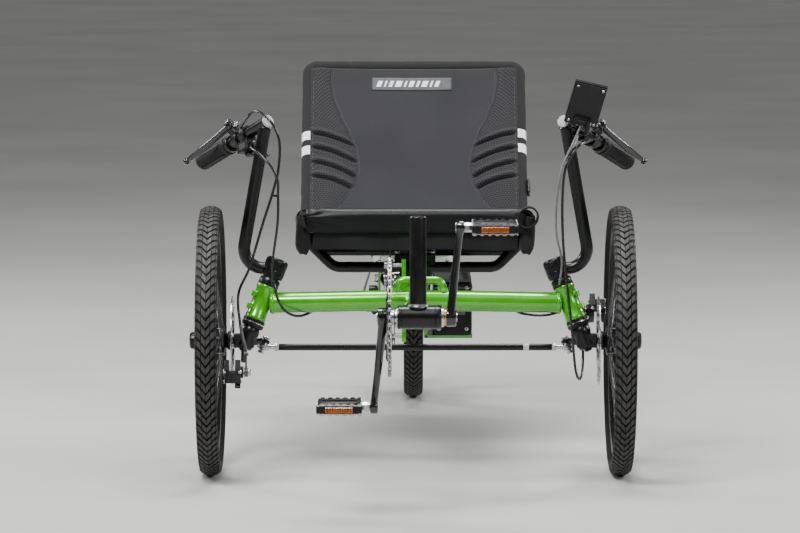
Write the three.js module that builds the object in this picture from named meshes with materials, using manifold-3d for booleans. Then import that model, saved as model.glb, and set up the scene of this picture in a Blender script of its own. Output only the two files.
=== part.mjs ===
// Recumbent tadpole tricycle: two steered wheels in front, one driven wheel behind.
// Millimetres, +Z up, ground at Z = 0. The rider faces -Y, so +X is the rider's left.
import * as THREE from "three";
import { mergeVertices } from "three/addons/utils/BufferGeometryUtils.js";
import Module from "manifold-3d";

const wasm = await Module();
wasm.setup();

// ---------------------------------------------------------------- driving dimensions
const GAP = 0.4; // clearance between neighbouring pieces
const FACET_TOLERANCE = 0.06; // slivers thinner than this are merged away

const WHEEL_RADIUS = 243; // 20 x 1.5 inch tyre on a 406 mm rim
const TYRE_WIDTH = 40;
const RIM_OUTER = 209;
const RIM_INNER = 190;
const RIM_WIDTH = 26;
const SPOKES = 24;
const WHEEL_SEGMENTS = 40;
const HALF_TRACK = 368.5;
const FRONT_Y = -370.8; // front axle
const REAR_Y = 729.2; // rear axle
const ROTOR_RADIUS = 80;
const ROTOR_X = 330;

const CRANK_Y = -870.8;
const CRANK_Z = 341;
const CRANK_LENGTH = 152;
const SHELL_RADIUS = 20;
const POST_RADIUS = 14.3;
const POST_TOP = 512;

const CHAIN_X = -46;
const CHAIN_HALF_WIDTH = 3.1;
const CHAIN_HALF_HEIGHT = 4.3;
const CHAIN_PITCH = 12.7;
const CHAIN_SAG = 0.35; // how far the chain's chords may cut inside its arcs
const RING_TEETH = 48;
const COG_TEETH = [11, 13, 16, 19, 22, 25, 28, 32];
const COG_IN_USE = 3;
const COG_SPACING = 4.4;
const JOCKEY_TEETH = 11;
const IDLER_PITCH_RADIUS = 28;

const ARM_Z = 316.5; // cross arms at the middle
const ARM_RADIUS = 18.7;
const MAIN_RADIUS = 19;
const KINGPIN_LEAN_IN = 0.397; // sideways run per unit of rise
const KINGPIN_LEAN_BACK = 0.2126; // rearward run per unit of rise
const KINGPIN_X = 304.9; // distance from the middle at axle height
const STEERER_RADIUS = 14.3;
const HEAD_TUBE = [41, 105]; // start and end along the kingpin axis
const CLAMP = [122, 158];

const BAR_RADIUS = 11.1;
const GRIP_RADIUS = 16.5;

const SEAT_HALF = 204; // middle of the seat's side rails
const SEAT_RAIL = 11;
const SEAT_SLEEVE = 14.2;
const SEAT_BORE = 11.5;
const DROPOUT_X = 69.4;

// ---------------------------------------------------------------- helpers
const vec = (x, y, z) => new THREE.Vector3(x, y, z);

// A closed triangle geometry as a manifold-3d solid.
function solid(geometry) {
  const plain = new THREE.BufferGeometry();
  plain.setAttribute("position", geometry.getAttribute("position"));
  if (geometry.index) plain.setIndex(geometry.index);
  const merged = mergeVertices(plain, 1e-4);
  return new wasm.Manifold(
    new wasm.Mesh({
      numProp: 3,
      vertProperties: new Float32Array(merged.attributes.position.array),
      triVerts: new Uint32Array(merged.index.array),
    }),
  );
}

const join = (...solids) => solids.reduce((whole, next) => whole.add(next));
const cut = (whole, ...tools) => tools.reduce((left, tool) => left.subtract(tool), whole);

function geometryOf(body) {
  const mesh = body.getMesh();
  const positions = new Float32Array(mesh.numVert * 3);
  for (let i = 0; i < mesh.numVert; i++) {
    positions.set(mesh.vertProperties.subarray(i * mesh.numProp, i * mesh.numProp + 3), i * 3);
  }
  const geometry = new THREE.BufferGeometry();
  geometry.setAttribute("position", new THREE.BufferAttribute(positions, 3));
  geometry.setIndex(new THREE.BufferAttribute(new Uint32Array(mesh.triVerts), 1));
  return geometry;
}

// The same body on the other side of the plane X = 0.
function mirrored(body) {
  const geometry = geometryOf(body);
  geometry.scale(-1, 1, 1);
  const index = geometry.index.array;
  for (let i = 0; i < index.length; i += 3) {
    [index[i + 1], index[i + 2]] = [index[i + 2], index[i + 1]];
  }
  return solid(geometry);
}

// Closes rings of points, one after another, into a surface with a flat cap at each end.
function skin(rings, closed = false) {
  const sides = rings[0].length;
  const positions = rings.flat().flatMap((p) => [p.x, p.y, p.z]);
  const index = [];
  const spans = closed ? rings.length : rings.length - 1;
  for (let r = 0; r < spans; r++) {
    const here = r * sides;
    const there = ((r + 1) % rings.length) * sides;
    for (let s = 0; s < sides; s++) {
      const next = (s + 1) % sides;
      index.push(here + s, here + next, there + next, here + s, there + next, there + s);
    }
  }
  if (!closed) {
    const last = (rings.length - 1) * sides;
    for (let s = 1; s < sides - 1; s++) {
      index.push(0, s + 1, s, last, last + s, last + s + 1);
    }
  }
  const geometry = new THREE.BufferGeometry();
  geometry.setAttribute("position", new THREE.BufferAttribute(new Float32Array(positions), 3));
  geometry.setIndex(index);
  return geometry;
}

// Directions of travel at each point of a line of points.
function tangents(points, closed = false) {
  const count = points.length;
  return points.map((point, i) => {
    const before = closed ? points[(i + count - 1) % count] : points[Math.max(i - 1, 0)];
    const after = closed ? points[(i + 1) % count] : points[Math.min(i + 1, count - 1)];
    const arriving = point.clone().sub(before).normalize();
    const leaving = after.clone().sub(point).normalize();
    return arriving.add(leaving).normalize();
  });
}

// A solid round bar through the points. The radius may be one number or one per point.
function tube(points, radius, sides = 10) {
  const along = tangents(points);
  const start = Math.abs(along[0].z) < 0.9 ? vec(0, 0, 1) : vec(1, 0, 0);
  let across = start.cross(along[0]).normalize();
  const rings = points.map((point, i) => {
    if (i > 0) {
      const turn = new THREE.Quaternion().setFromUnitVectors(along[i - 1], along[i]);
      across = across.clone().applyQuaternion(turn).normalize();
    }
    const up = along[i].clone().cross(across);
    const r = Array.isArray(radius) ? radius[i] : radius;
    const ring = [];
    for (let s = 0; s < sides; s++) {
      const angle = (2 * Math.PI * s) / sides;
      const offset = across.clone().multiplyScalar(r * Math.cos(angle));
      ring.push(offset.addScaledVector(up, r * Math.sin(angle)).add(point));
    }
    return ring;
  });
  return solid(skin(rings));
}

// The points of a bent line: every inner corner becomes an arc of the bend radius.
function bent(corners, bend, steps = 4) {
  const points = [corners[0]];
  for (let i = 1; i < corners.length - 1; i++) {
    const back = corners[i - 1].clone().sub(corners[i]).normalize();
    const ahead = corners[i + 1].clone().sub(corners[i]).normalize();
    const half = back.angleTo(ahead) / 2;
    const setback = bend / Math.tan(half);
    const inward = back.clone().add(ahead).normalize();
    const centre = corners[i].clone().addScaledVector(inward, bend / Math.sin(half));
    const from = corners[i].clone().addScaledVector(back, setback).sub(centre);
    const to = corners[i].clone().addScaledVector(ahead, setback).sub(centre);
    const sweep = from.angleTo(to);
    for (let k = 0; k <= steps; k++) {
      const share = k / steps;
      const point = centre.clone();
      point.addScaledVector(from, Math.sin((1 - share) * sweep) / Math.sin(sweep));
      point.addScaledVector(to, Math.sin(share * sweep) / Math.sin(sweep));
      points.push(point);
    }
  }
  points.push(corners[corners.length - 1]);
  return points;
}

// Turns a geometry made about +Z so that its axis runs along a direction from an origin.
function aimed(geometry, origin, direction) {
  const turn = new THREE.Quaternion().setFromUnitVectors(vec(0, 0, 1), direction.clone().normalize());
  geometry.applyQuaternion(turn);
  geometry.translate(origin.x, origin.y, origin.z);
  return solid(geometry);
}

// A turned piece. The profile is [radius, height] pairs listed with rising height outside.
function turned(profile, origin, direction, segments = 20) {
  const outline = profile.map(([radius, height]) => new THREE.Vector2(radius, height));
  const geometry = new THREE.LatheGeometry(outline, segments);
  geometry.rotateX(Math.PI / 2);
  return aimed(geometry, origin, direction);
}

// A turned piece with a hole through it: the outside profile, then back down the bore.
function collar(bore, profile, origin, direction, segments = 20) {
  const low = profile[0][1];
  const high = profile[profile.length - 1][1];
  const loop = [[bore, low], ...profile, [bore, high], [bore, low]];
  return turned(loop, origin, direction, segments);
}

// A plain disc or rod with both ends on the axis.
function rod(radius, from, to, sides = 12) {
  return tube([from, to], radius, sides);
}

// A box whose middle and three edge directions are given.
function block(size, middle, xAxis = vec(1, 0, 0), yAxis = vec(0, 1, 0)) {
  const geometry = new THREE.BoxGeometry(...size);
  const x = xAxis.clone().normalize();
  const z = x.clone().cross(yAxis).normalize();
  const y = z.clone().cross(x);
  geometry.applyMatrix4(new THREE.Matrix4().makeBasis(x, y, z).setPosition(middle));
  return solid(geometry);
}

// An outline in the YZ plane, given some thickness along X about the middle position.
function sidePlate(outline, thickness, x) {
  const shape = new THREE.Shape(outline.map(([y, z]) => new THREE.Vector2(y, z)));
  const geometry = new THREE.ExtrudeGeometry(shape, { depth: thickness, bevelEnabled: false });
  const basis = new THREE.Matrix4().makeBasis(vec(0, 1, 0), vec(0, 0, 1), vec(1, 0, 0));
  geometry.applyMatrix4(basis);
  geometry.translate(x - thickness / 2, 0, 0);
  return solid(geometry);
}

const group = new THREE.Group();

function addNode(name, body, color, roughness, metalness) {
  const material = new THREE.MeshStandardMaterial({ color, roughness, metalness });
  const mesh = new THREE.Mesh(geometryOf(solid(geometryOf(body)).simplify(FACET_TOLERANCE)), material);
  mesh.name = name;
  group.add(mesh);
}

const green = (name, body) => addNode(name, body, 0x77d814, 0.25, 0.2);
const black = (name, body) => addNode(name, body, 0x161618, 0.4, 0.6);
const plastic = (name, body) => addNode(name, body, 0x1b1b1d, 0.6, 0.0);
const rubber = (name, body) => addNode(name, body, 0x202022, 0.9, 0.0);
const steel = (name, body) => addNode(name, body, 0xa9abad, 0.35, 0.95);
const fabric = (name, body) => addNode(name, body, 0x2b2d31, 0.95, 0.0);

// ---------------------------------------------------------------- kingpin axis
const AXIS_UP = vec(KINGPIN_LEAN_IN, KINGPIN_LEAN_BACK, 1).normalize();
const AXIS_FOOT = vec(-KINGPIN_X, FRONT_Y, WHEEL_RADIUS);
const onKingpin = (distance) => AXIS_FOOT.clone().addScaledVector(AXIS_UP, distance);

// ---------------------------------------------------------------- frame
const SHELL = vec(0, CRANK_Y, CRANK_Z);
const CROSS = vec(0, FRONT_Y, ARM_Z);
const MAIN_END = vec(0, 405, 314);
const BOOM_DIRECTION = SHELL.clone().sub(CROSS).normalize();
const onBoom = (distance) => CROSS.clone().addScaledVector(BOOM_DIRECTION, distance);
const SLEEVE_FRONT = 310;
const BOOM_BACK = 210;
const BOOM_RADIUS = 16.5;

function crossArmRight() {
  const middleOfHead = onKingpin((HEAD_TUBE[0] + HEAD_TUBE[1]) / 2);
  const arm = rod(ARM_RADIUS, vec(6, FRONT_Y, ARM_Z), middleOfHead, 16);
  const head = rod(18, onKingpin(HEAD_TUBE[0]), onKingpin(HEAD_TUBE[1]), 18);
  const bore = rod(16.4, onKingpin(HEAD_TUBE[0] - 20), onKingpin(HEAD_TUBE[1] + 20), 18);
  return { arm, head, bore };
}

function rearStayRight() {
  const corners = [
    vec(6, 385, 317),
    vec(-30, 425, 321),
    vec(-64, 470, 320),
    vec(-73, 560, 304),
    vec(-72.5, 705, 268),
  ];
  return tube(bent(corners, 30, 2), 9, 8);
}

function dropoutRight() {
  const outline = [
    [668, 290],
    [700, 303],
    [742, 270],
    [750, 243],
    [746, 222],
    [740, 205],
    [728, 207],
    [716, 228],
    [700, 248],
    [678, 262],
  ];
  const plate = sidePlate(outline, 5, -DROPOUT_X);
  const axleHole = rod(5.5, vec(-90, REAR_Y, WHEEL_RADIUS), vec(-50, REAR_Y, WHEEL_RADIUS));
  return cut(plate, axleHole);
}

{
  const { arm, head, bore } = crossArmRight();
  const sleeve = tube([onBoom(SLEEVE_FRONT), CROSS, MAIN_END], MAIN_RADIUS, 16);
  const boomBore = rod(BOOM_RADIUS + 0.5, onBoom(SLEEVE_FRONT + 5), onBoom(BOOM_BACK - 5), 16);
  const arch = tube(
    bent(
      [
        vec(-34, FRONT_Y, 322),
        vec(-31, FRONT_Y, 352),
        vec(47, FRONT_Y, 352),
        vec(50, FRONT_Y, 322),
      ],
      12,
      3,
    ),
    7.5,
    8,
  );
  const idlerTab = block([8, 30, 152], vec(-21, -200, 298));
  const idlerPins = join(
    rod(4, vec(-22, -200, 363), vec(-58, -200, 363), 8),
    rod(4, vec(-22, -200, 232), vec(-58, -200, 232), 8),
  );
  const batteryWall = block([7, 300, 112], vec(21, 160, 259));
  const batteryFloor = block([90, 300, 6], vec(64, 160, 206));
  const rearRight = join(rearStayRight(), dropoutRight());
  const whole = join(
    sleeve,
    arm,
    mirrored(arm),
    head,
    mirrored(head),
    arch,
    idlerTab,
    idlerPins,
    batteryWall,
    batteryFloor,
    rearRight,
    mirrored(rearRight),
  );
  green("frame_main", cut(whole, bore, mirrored(bore), boomBore));
}

// ---------------------------------------------------------------- boom and crank shell
{
  const shell = rod(SHELL_RADIUS, vec(-33, CRANK_Y, CRANK_Z), vec(41.7, CRANK_Y, CRANK_Z), 20);
  const tubeBack = rod(BOOM_RADIUS, SHELL, onBoom(BOOM_BACK), 16);
  const post = tube([vec(2, CRANK_Y, CRANK_Z), vec(2, CRANK_Y, POST_TOP)], POST_RADIUS, 16);
  const bore = rod(11, vec(-40, CRANK_Y, CRANK_Z), vec(50, CRANK_Y, CRANK_Z), 14);
  black("boom", cut(join(shell, tubeBack, post), bore));
}

// ---------------------------------------------------------------- head sets
const headsetRight = (() => {
  const base = HEAD_TUBE[0];
  const profile = [
    [17, base - 15],
    [20, base - 12],
    [20, base - GAP],
    [16, base - GAP],
    [16, HEAD_TUBE[1] + GAP],
    [18.5, HEAD_TUBE[1] + GAP],
    [18.5, HEAD_TUBE[1] + 12],
    [17, HEAD_TUBE[1] + 15],
  ];
  return collar(STEERER_RADIUS + GAP, profile, AXIS_FOOT, AXIS_UP, 16);
})();
black("headset_right", headsetRight);
black("headset_left", mirrored(headsetRight));

// ---------------------------------------------------------------- knuckles
const TIE_PIVOT = vec(-278, FRONT_Y + 60, 224);
const ARM_EYE = TIE_PIVOT.clone().addScaledVector(AXIS_UP, 12);
const AXLE_PIN_END = 402;

// The upright that steers: steerer, lower crown, axle housing and pin, steering arm.
// The calliper bracket runs from the housing through the given [rearward, upward] places.
function knuckleRight(bracketPlaces) {
  const steerer = rod(STEERER_RADIUS, onKingpin(-8), onKingpin(CLAMP[1] - 6), 16);
  const crown = turned(
    [
      [0, -15],
      [13, -15],
      [17, -8],
      [17, 21],
      [15, 25.5],
      [0, 25.5],
    ],
    AXIS_FOOT,
    AXIS_UP,
    14,
  );
  const axleStart = vec(-KINGPIN_X + 8, FRONT_Y, WHEEL_RADIUS);
  const housing = rod(11.5, axleStart, vec(-ROTOR_X + 5, FRONT_Y, WHEEL_RADIUS), 14);
  const pin = rod(6, axleStart, vec(-AXLE_PIN_END, FRONT_Y, WHEEL_RADIUS), 10);
  const armStart = onKingpin(-4).add(vec(2, 4, 0));
  const steeringArm = tube([armStart, ARM_EYE], [9, 3.2], 8);
  const overEye = (distance) => ARM_EYE.clone().addScaledVector(AXIS_UP, distance);
  const eye = rod(9.5, overEye(-3), overEye(3), 12);
  const eyeHole = rod(3.5, TIE_PIVOT, overEye(10), 8);
  const bracketLine = [[0, 0], ...bracketPlaces].map(([y, z]) =>
    vec(-308.4, FRONT_Y + y, WHEEL_RADIUS + z),
  );
  const bracket = tube(bracketLine, 5.4, 8);
  return cut(join(steerer, crown, housing, pin, steeringArm, eye, bracket), eyeHole);
}

// ---------------------------------------------------------------- brake callipers
const CALLIPER_INNER = 314.5;
const CALLIPER_ARM_X = 304;

// A calliper body over the rotor's edge, and the lever arm on its inner side.
function callipersRight(centreY, centreZ, armY, armZ) {
  const middle = vec(-(CALLIPER_INNER + 14), FRONT_Y + centreY, WHEEL_RADIUS + centreZ);
  const body = block([28, 44, 30], middle, vec(1, 0, 0), vec(0, -centreZ, centreY));
  const inRotor = (offset) => vec(-ROTOR_X + offset, FRONT_Y, WHEEL_RADIUS);
  const slot = rod(ROTOR_RADIUS + 1.2, inRotor(-2.6), inRotor(2.6), 32);
  const pivotStart = vec(-CALLIPER_INNER - 2, middle.y, middle.z);
  const onPivot = (offset) => vec(-CALLIPER_ARM_X + offset, middle.y, middle.z);
  const collarDisc = rod(11, pivotStart, onPivot(-4.4), 14);
  const pivot = rod(4, pivotStart, onPivot(6), 8);
  const hub = rod(9, onPivot(-3.6), onPivot(3.6), 12);
  const tip = onPivot(0).add(vec(0, armY, armZ));
  const reach = tube([onPivot(0), tip], 3.3, 6);
  const hole = rod(4.6, pivotStart, onPivot(20), 8);
  return {
    calliper: join(cut(body, slot), collarDisc, pivot),
    arm: cut(join(hub, reach), hole),
  };
}

const lowFront = callipersRight(-44, -52, -4, 34);
const highRear = callipersRight(46, 50, 24, -26);
black(
  "knuckle_right",
  knuckleRight([
    [-12, -12],
    [-30, -34],
  ]),
);
black(
  "knuckle_left",
  mirrored(
    knuckleRight([
      [34, 6],
      [43, 30],
    ]),
  ),
);
black("calliper_right", lowFront.calliper);
black("calliper_left", mirrored(highRear.calliper));
steel("calliper_arm_right", lowFront.arm);
steel("calliper_arm_left", mirrored(highRear.arm));

// ---------------------------------------------------------------- tie rod
{
  const half = 248;
  const pivot = TIE_PIVOT;
  const overPivot = (distance) => pivot.clone().addScaledVector(AXIS_UP, distance);
  const eye = rod(9.5, overPivot(-5), overPivot(5), 12);
  const bolt = rod(3, overPivot(-9), overPivot(21.5), 8);
  const nut = rod(6, overPivot(15.6), overPivot(20), 6);
  const shank = rod(4.2, pivot, vec(-half - GAP, pivot.y, pivot.z), 8);
  const jamNut = rod(7, vec(-256, pivot.y, pivot.z), vec(-half - GAP, pivot.y, pivot.z), 6);
  const thread = rod(2.6, pivot, vec(-half + 8, pivot.y, pivot.z), 8);
  const end = join(eye, bolt, nut, shank, jamNut, thread);
  steel("rod_end_right", end);
  steel("rod_end_left", mirrored(end));
  const onRod = (x) => vec(x, pivot.y, pivot.z);
  const barrel = rod(6, onRod(-half), onRod(half), 12);
  const socket = (side) => rod(5, onRod(side * (half - 28)), onRod(side * (half + 5)), 8);
  black("tie_rod", cut(barrel, socket(-1), socket(1)));
}

// ---------------------------------------------------------------- wheels
// Each wheel is made about the middle of its own plane, X pointing along the axle.
function tyre(centre) {
  const half = TYRE_WIDTH / 2;
  const inner = RIM_OUTER + GAP;
  const profile = [
    [inner, -11],
    [inner + 12, -19],
    [inner + 20, -half],
    [WHEEL_RADIUS - 4, -14],
    [WHEEL_RADIUS, -5],
    [WHEEL_RADIUS, 5],
    [WHEEL_RADIUS - 4, 14],
    [inner + 20, half],
    [inner + 12, 19],
    [inner, 11],
    [inner, -11],
  ];
  return turned(profile, centre, vec(1, 0, 0), WHEEL_SEGMENTS);
}

function rim(centre) {
  const half = RIM_WIDTH / 2;
  const profile = [
    [RIM_INNER, -7],
    [RIM_OUTER - 13, -half],
    [RIM_OUTER, -half],
    [RIM_OUTER, half],
    [RIM_OUTER - 13, half],
    [RIM_INNER, 7],
    [RIM_INNER, -7],
  ];
  return turned(profile, centre, vec(1, 0, 0), WHEEL_SEGMENTS);
}

// Crossed spokes from two flanges out to the rim. Flanges are [offset along X, radius].
function spokes(centre, flanges) {
  const list = [];
  const crossing = (3.1 * 2 * Math.PI) / SPOKES;
  for (let i = 0; i < SPOKES; i++) {
    const [offset, radius] = flanges[i % 2];
    const leading = i % 4 < 2 ? 1 : -1;
    const rimAngle = (2 * Math.PI * i) / SPOKES;
    const hubAngle = rimAngle + leading * 2 * crossing;
    const root = radius - 3.5;
    const end = RIM_INNER - 1.8;
    const x = offset + leading * 1.9;
    const from = vec(x, root * Math.cos(hubAngle), root * Math.sin(hubAngle)).add(centre);
    const to = vec(leading * 0.4, end * Math.cos(rimAngle), end * Math.sin(rimAngle)).add(centre);
    list.push(tube([from, to], 1.2, 3));
  }
  return list;
}

// The front hub, on the rider's right: its inner end faces the kingpin.
function frontHubRight(centre) {
  const profile = [
    [17, -37.1],
    [13, -31],
    [11, -25],
    [11, -24],
    [26, -23.6],
    [26, -18.4],
    [11, -18],
    [11, 18],
    [26, 18.4],
    [26, 23.6],
    [14, 25],
    [16, 35],
    [13, 38.5],
    [0, 38.5],
  ];
  const loop = [[0, -37.1], ...profile].map(([radius, along]) => [radius, -along]).reverse();
  const hub = turned(loop, centre, vec(1, 0, 0), 16);
  const boreStart = centre.clone().add(vec(60, 0, 0));
  const bore = rod(6.5, boreStart, vec(-AXLE_PIN_END - 1, centre.y, centre.z), 10);
  const flanges = [
    [21, 26],
    [-21, 26],
  ];
  return cut(join(hub, ...spokes(centre, flanges)), bore);
}

function rotorRight() {
  const at = vec(-ROTOR_X, FRONT_Y, WHEEL_RADIUS);
  const along = (offset) => at.clone().add(vec(offset, 0, 0));
  let disc = rod(ROTOR_RADIUS, along(-0.9), along(0.9), 32);
  const windows = 5;
  for (let i = 0; i < windows; i++) {
    const angle = (2 * Math.PI * i) / windows;
    const middle = vec(0, 44 * Math.cos(angle), 44 * Math.sin(angle));
    disc = cut(disc, rod(16, along(-4).add(middle), along(4).add(middle), 6));
  }
  return cut(disc, rod(13.2, along(-4), along(4), 14));
}

const WHEEL_RIGHT = vec(-HALF_TRACK, FRONT_Y, WHEEL_RADIUS);
const REAR_AXLE = vec(0, REAR_Y, WHEEL_RADIUS);
const rightWheel = {
  tyre: tyre(WHEEL_RIGHT),
  rim: rim(WHEEL_RIGHT),
  hub: frontHubRight(WHEEL_RIGHT),
  rotor: rotorRight(),
};
rubber("tyre_right", rightWheel.tyre);
rubber("tyre_left", mirrored(rightWheel.tyre));
rubber("tyre_rear", tyre(REAR_AXLE));
black("rim_right", rightWheel.rim);
black("rim_left", mirrored(rightWheel.rim));
black("rim_rear", rim(REAR_AXLE));
black("hub_right", rightWheel.hub);
black("hub_left", mirrored(rightWheel.hub));
steel("rotor_right", rightWheel.rotor);
steel("rotor_left", mirrored(rightWheel.rotor));

{
  const profile = [
    [0, -78],
    [5, -78],
    [5, -66],
    [9, -66],
    [16, -62],
    [16, -27],
    [12, -26],
    [27, -25],
    [27, -20.4],
    [13, -20],
    [13, 30],
    [27, 30.4],
    [27, 35],
    [12, 36],
    [9, 66],
    [5, 66],
    [5, 78],
    [0, 78],
  ];
  const hub = turned(profile, REAR_AXLE, vec(1, 0, 0), 16);
  const flanges = [
    [-22.7, 27],
    [32.7, 27],
  ];
  black("hub_rear", join(hub, ...spokes(REAR_AXLE, flanges)));
}

// ---------------------------------------------------------------- drive train
const pitchRadius = (teeth) => CHAIN_PITCH / (2 * Math.sin(Math.PI / teeth));
const RING_RADIUS = pitchRadius(RING_TEETH);
const GUIDE_JOCKEY = [735, 168];
const TENSION_JOCKEY = [768, 112];

// Wheels the chain runs round, in order: [y, z, pitch radius, sense]. Sense +1 turns from +Y to +Z.
const PULLEYS = [
  [CRANK_Y, CRANK_Z, RING_RADIUS, -1],
  [-200, 363, IDLER_PITCH_RADIUS, 1],
  [REAR_Y, WHEEL_RADIUS, pitchRadius(COG_TEETH[COG_IN_USE]), -1],
  [...GUIDE_JOCKEY, pitchRadius(JOCKEY_TEETH), 1],
  [...TENSION_JOCKEY, pitchRadius(JOCKEY_TEETH), -1],
  [-200, 232, IDLER_PITCH_RADIUS, 1],
];

// The chain's line: straight runs that touch each wheel, and the arcs between them.
function chainLine() {
  const runs = PULLEYS.map(([y1, z1, r1, s1], i) => {
    const [y2, z2, r2, s2] = PULLEYS[(i + 1) % PULLEYS.length];
    const distance = Math.hypot(y2 - y1, z2 - z1);
    const heading = Math.atan2(z2 - z1, y2 - y1) + Math.asin((s1 * r1 - s2 * r2) / distance);
    return heading;
  });
  const points = [];
  PULLEYS.forEach(([y, z, r, sense], i) => {
    const arriving = runs[(i + PULLEYS.length - 1) % PULLEYS.length];
    const leaving = runs[i];
    const full = 2 * Math.PI;
    const turn = sense * ((((sense * (leaving - arriving)) % full) + full) % full);
    const step = 2 * Math.acos(1 - CHAIN_SAG / r);
    const steps = Math.max(2, Math.ceil(Math.abs(turn) / step));
    for (let k = 0; k <= steps; k++) {
      const heading = arriving + (turn * k) / steps;
      points.push(vec(CHAIN_X, y + sense * r * Math.sin(heading), z - sense * r * Math.cos(heading)));
    }
  });
  return points;
}

{
  const points = chainLine();
  const along = tangents(points, true);
  const corners = [
    [-1, -1],
    [1, -1],
    [1, 1],
    [-1, 1],
  ];
  const rings = points.map((point, i) => {
    const outward = along[i].clone().cross(vec(1, 0, 0));
    return corners.map(([a, b]) =>
      point
        .clone()
        .add(vec(a * CHAIN_HALF_WIDTH, 0, 0))
        .addScaledVector(outward, b * CHAIN_HALF_HEIGHT),
    );
  });
  steel("chain", solid(skin(rings, true)));
}

function discAt(y, z, radius, bore, halfWidth, segments) {
  const profile = [
    [radius, -halfWidth],
    [radius, halfWidth],
  ];
  return collar(bore, profile, vec(CHAIN_X, y, z), vec(1, 0, 0), segments);
}

const IDLER_RADIUS = IDLER_PITCH_RADIUS - CHAIN_HALF_HEIGHT - 1;
plastic("idler_drive", discAt(-200, 363, IDLER_RADIUS, 4.6, 4, 20));
plastic("idler_return", discAt(-200, 232, IDLER_RADIUS, 4.6, 4, 20));
const JOCKEY_RADIUS = pitchRadius(JOCKEY_TEETH) - CHAIN_HALF_HEIGHT - 1;
plastic("jockey_guide", discAt(...GUIDE_JOCKEY, JOCKEY_RADIUS, 3.6, 3.4, 16));
plastic("jockey_tension", discAt(...TENSION_JOCKEY, JOCKEY_RADIUS, 3.6, 3.4, 16));

{
  const profile = [];
  COG_TEETH.forEach((teeth, i) => {
    const x = (i - COG_IN_USE) * COG_SPACING;
    const inUse = i === COG_IN_USE;
    const radius = pitchRadius(teeth) - (inUse ? CHAIN_HALF_HEIGHT + 0.8 : 1);
    profile.push([20, x - 1.6], [radius, x - 0.7], [radius, x + 0.7]);
  });
  profile.push([20, profile.at(-1)[1] + 1]);
  const cassette = collar(16.6, profile, vec(CHAIN_X, REAR_Y, WHEEL_RADIUS), vec(1, 0, 0), 18);
  steel("cassette", cassette);
}

{
  const hanger = tube([vec(-84, 742, 214), vec(-90, 752, 190), vec(-72, 738, 168)], [9, 11, 9], 8);
  black("derailleur", hanger);
  const [gy, gz] = GUIDE_JOCKEY;
  const [ty, tz] = TENSION_JOCKEY;
  const outline = (grow) => [
    [gy - grow, gz + grow],
    [gy + grow, gz + grow],
    [ty + grow, tz - grow * 0.6],
    [ty, tz - grow],
    [ty - grow, tz - grow * 0.4],
  ];
  const outer = sidePlate(outline(9), 2, CHAIN_X - 7.6);
  const inner = sidePlate(outline(9), 2, CHAIN_X + 7.6);
  const pinGuide = rod(3, vec(CHAIN_X - 8, gy, gz), vec(CHAIN_X + 8, gy, gz), 10);
  const pinTension = rod(3, vec(CHAIN_X - 8, ty, tz), vec(CHAIN_X + 8, ty, tz), 10);
  black("derailleur_cage", join(outer, inner, pinGuide, pinTension));
}

// ---------------------------------------------------------------- cranks and pedals
const PEDAL_IN = 92;
const PEDAL_OUT = 170;

// One crank on the rider's right, up = +1 or down = -1, with its pedal spindle.
function crankRight(up) {
  const top = CRANK_Z + up * CRANK_LENGTH;
  const arm = tube(
    [vec(-57, CRANK_Y, CRANK_Z), vec(-64, CRANK_Y, CRANK_Z + up * 60), vec(-73, CRANK_Y, top)],
    [11, 9.5, 9],
    10,
  );
  const boss = rod(15, vec(-66, CRANK_Y, CRANK_Z), vec(-50, CRANK_Y, CRANK_Z), 16);
  const eye = rod(12, vec(-79, CRANK_Y, top), vec(-66, CRANK_Y, top), 16);
  const spindle = rod(4.5, vec(-73, CRANK_Y, top), vec(-PEDAL_OUT + 2, CRANK_Y, top), 12);
  return join(arm, boss, eye, spindle);
}

function pedalRight(up) {
  const middle = vec(-(PEDAL_IN + PEDAL_OUT) / 2, CRANK_Y, CRANK_Z + up * CRANK_LENGTH);
  const length = PEDAL_OUT - PEDAL_IN;
  const cage = cut(block([length, 88, 20], middle), block([length - 12, 74, 30], middle));
  const onAxle = (x) => vec(x, CRANK_Y, middle.z);
  const barrel = rod(10, onAxle(-PEDAL_IN - 1), onAxle(-PEDAL_OUT + 1), 14);
  const bore = rod(5, onAxle(-PEDAL_IN + 10), onAxle(-PEDAL_OUT - 10), 12);
  return cut(join(cage, barrel), bore);
}

// Amber reflectors at the front and back of a pedal, on one carrier that clips over the cage.
function reflectorRight(up) {
  const middle = vec(-(PEDAL_IN + PEDAL_OUT) / 2, CRANK_Y, CRANK_Z + up * CRANK_LENGTH);
  const at = (x, y, z) => middle.clone().add(vec(x, y, z));
  const front = block([46, 5, 14], at(0, -47.2, 0));
  const back = block([46, 5, 14], at(0, 47.2, 0));
  const strapRight = block([5, 96, 2], at(-12, 0, -11.6));
  const tabs = [-1, 1].map((end) => block([5, 3, 8], at(-12, end * 46.4, -9)));
  return join(front, back, strapRight, ...tabs);
}

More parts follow.
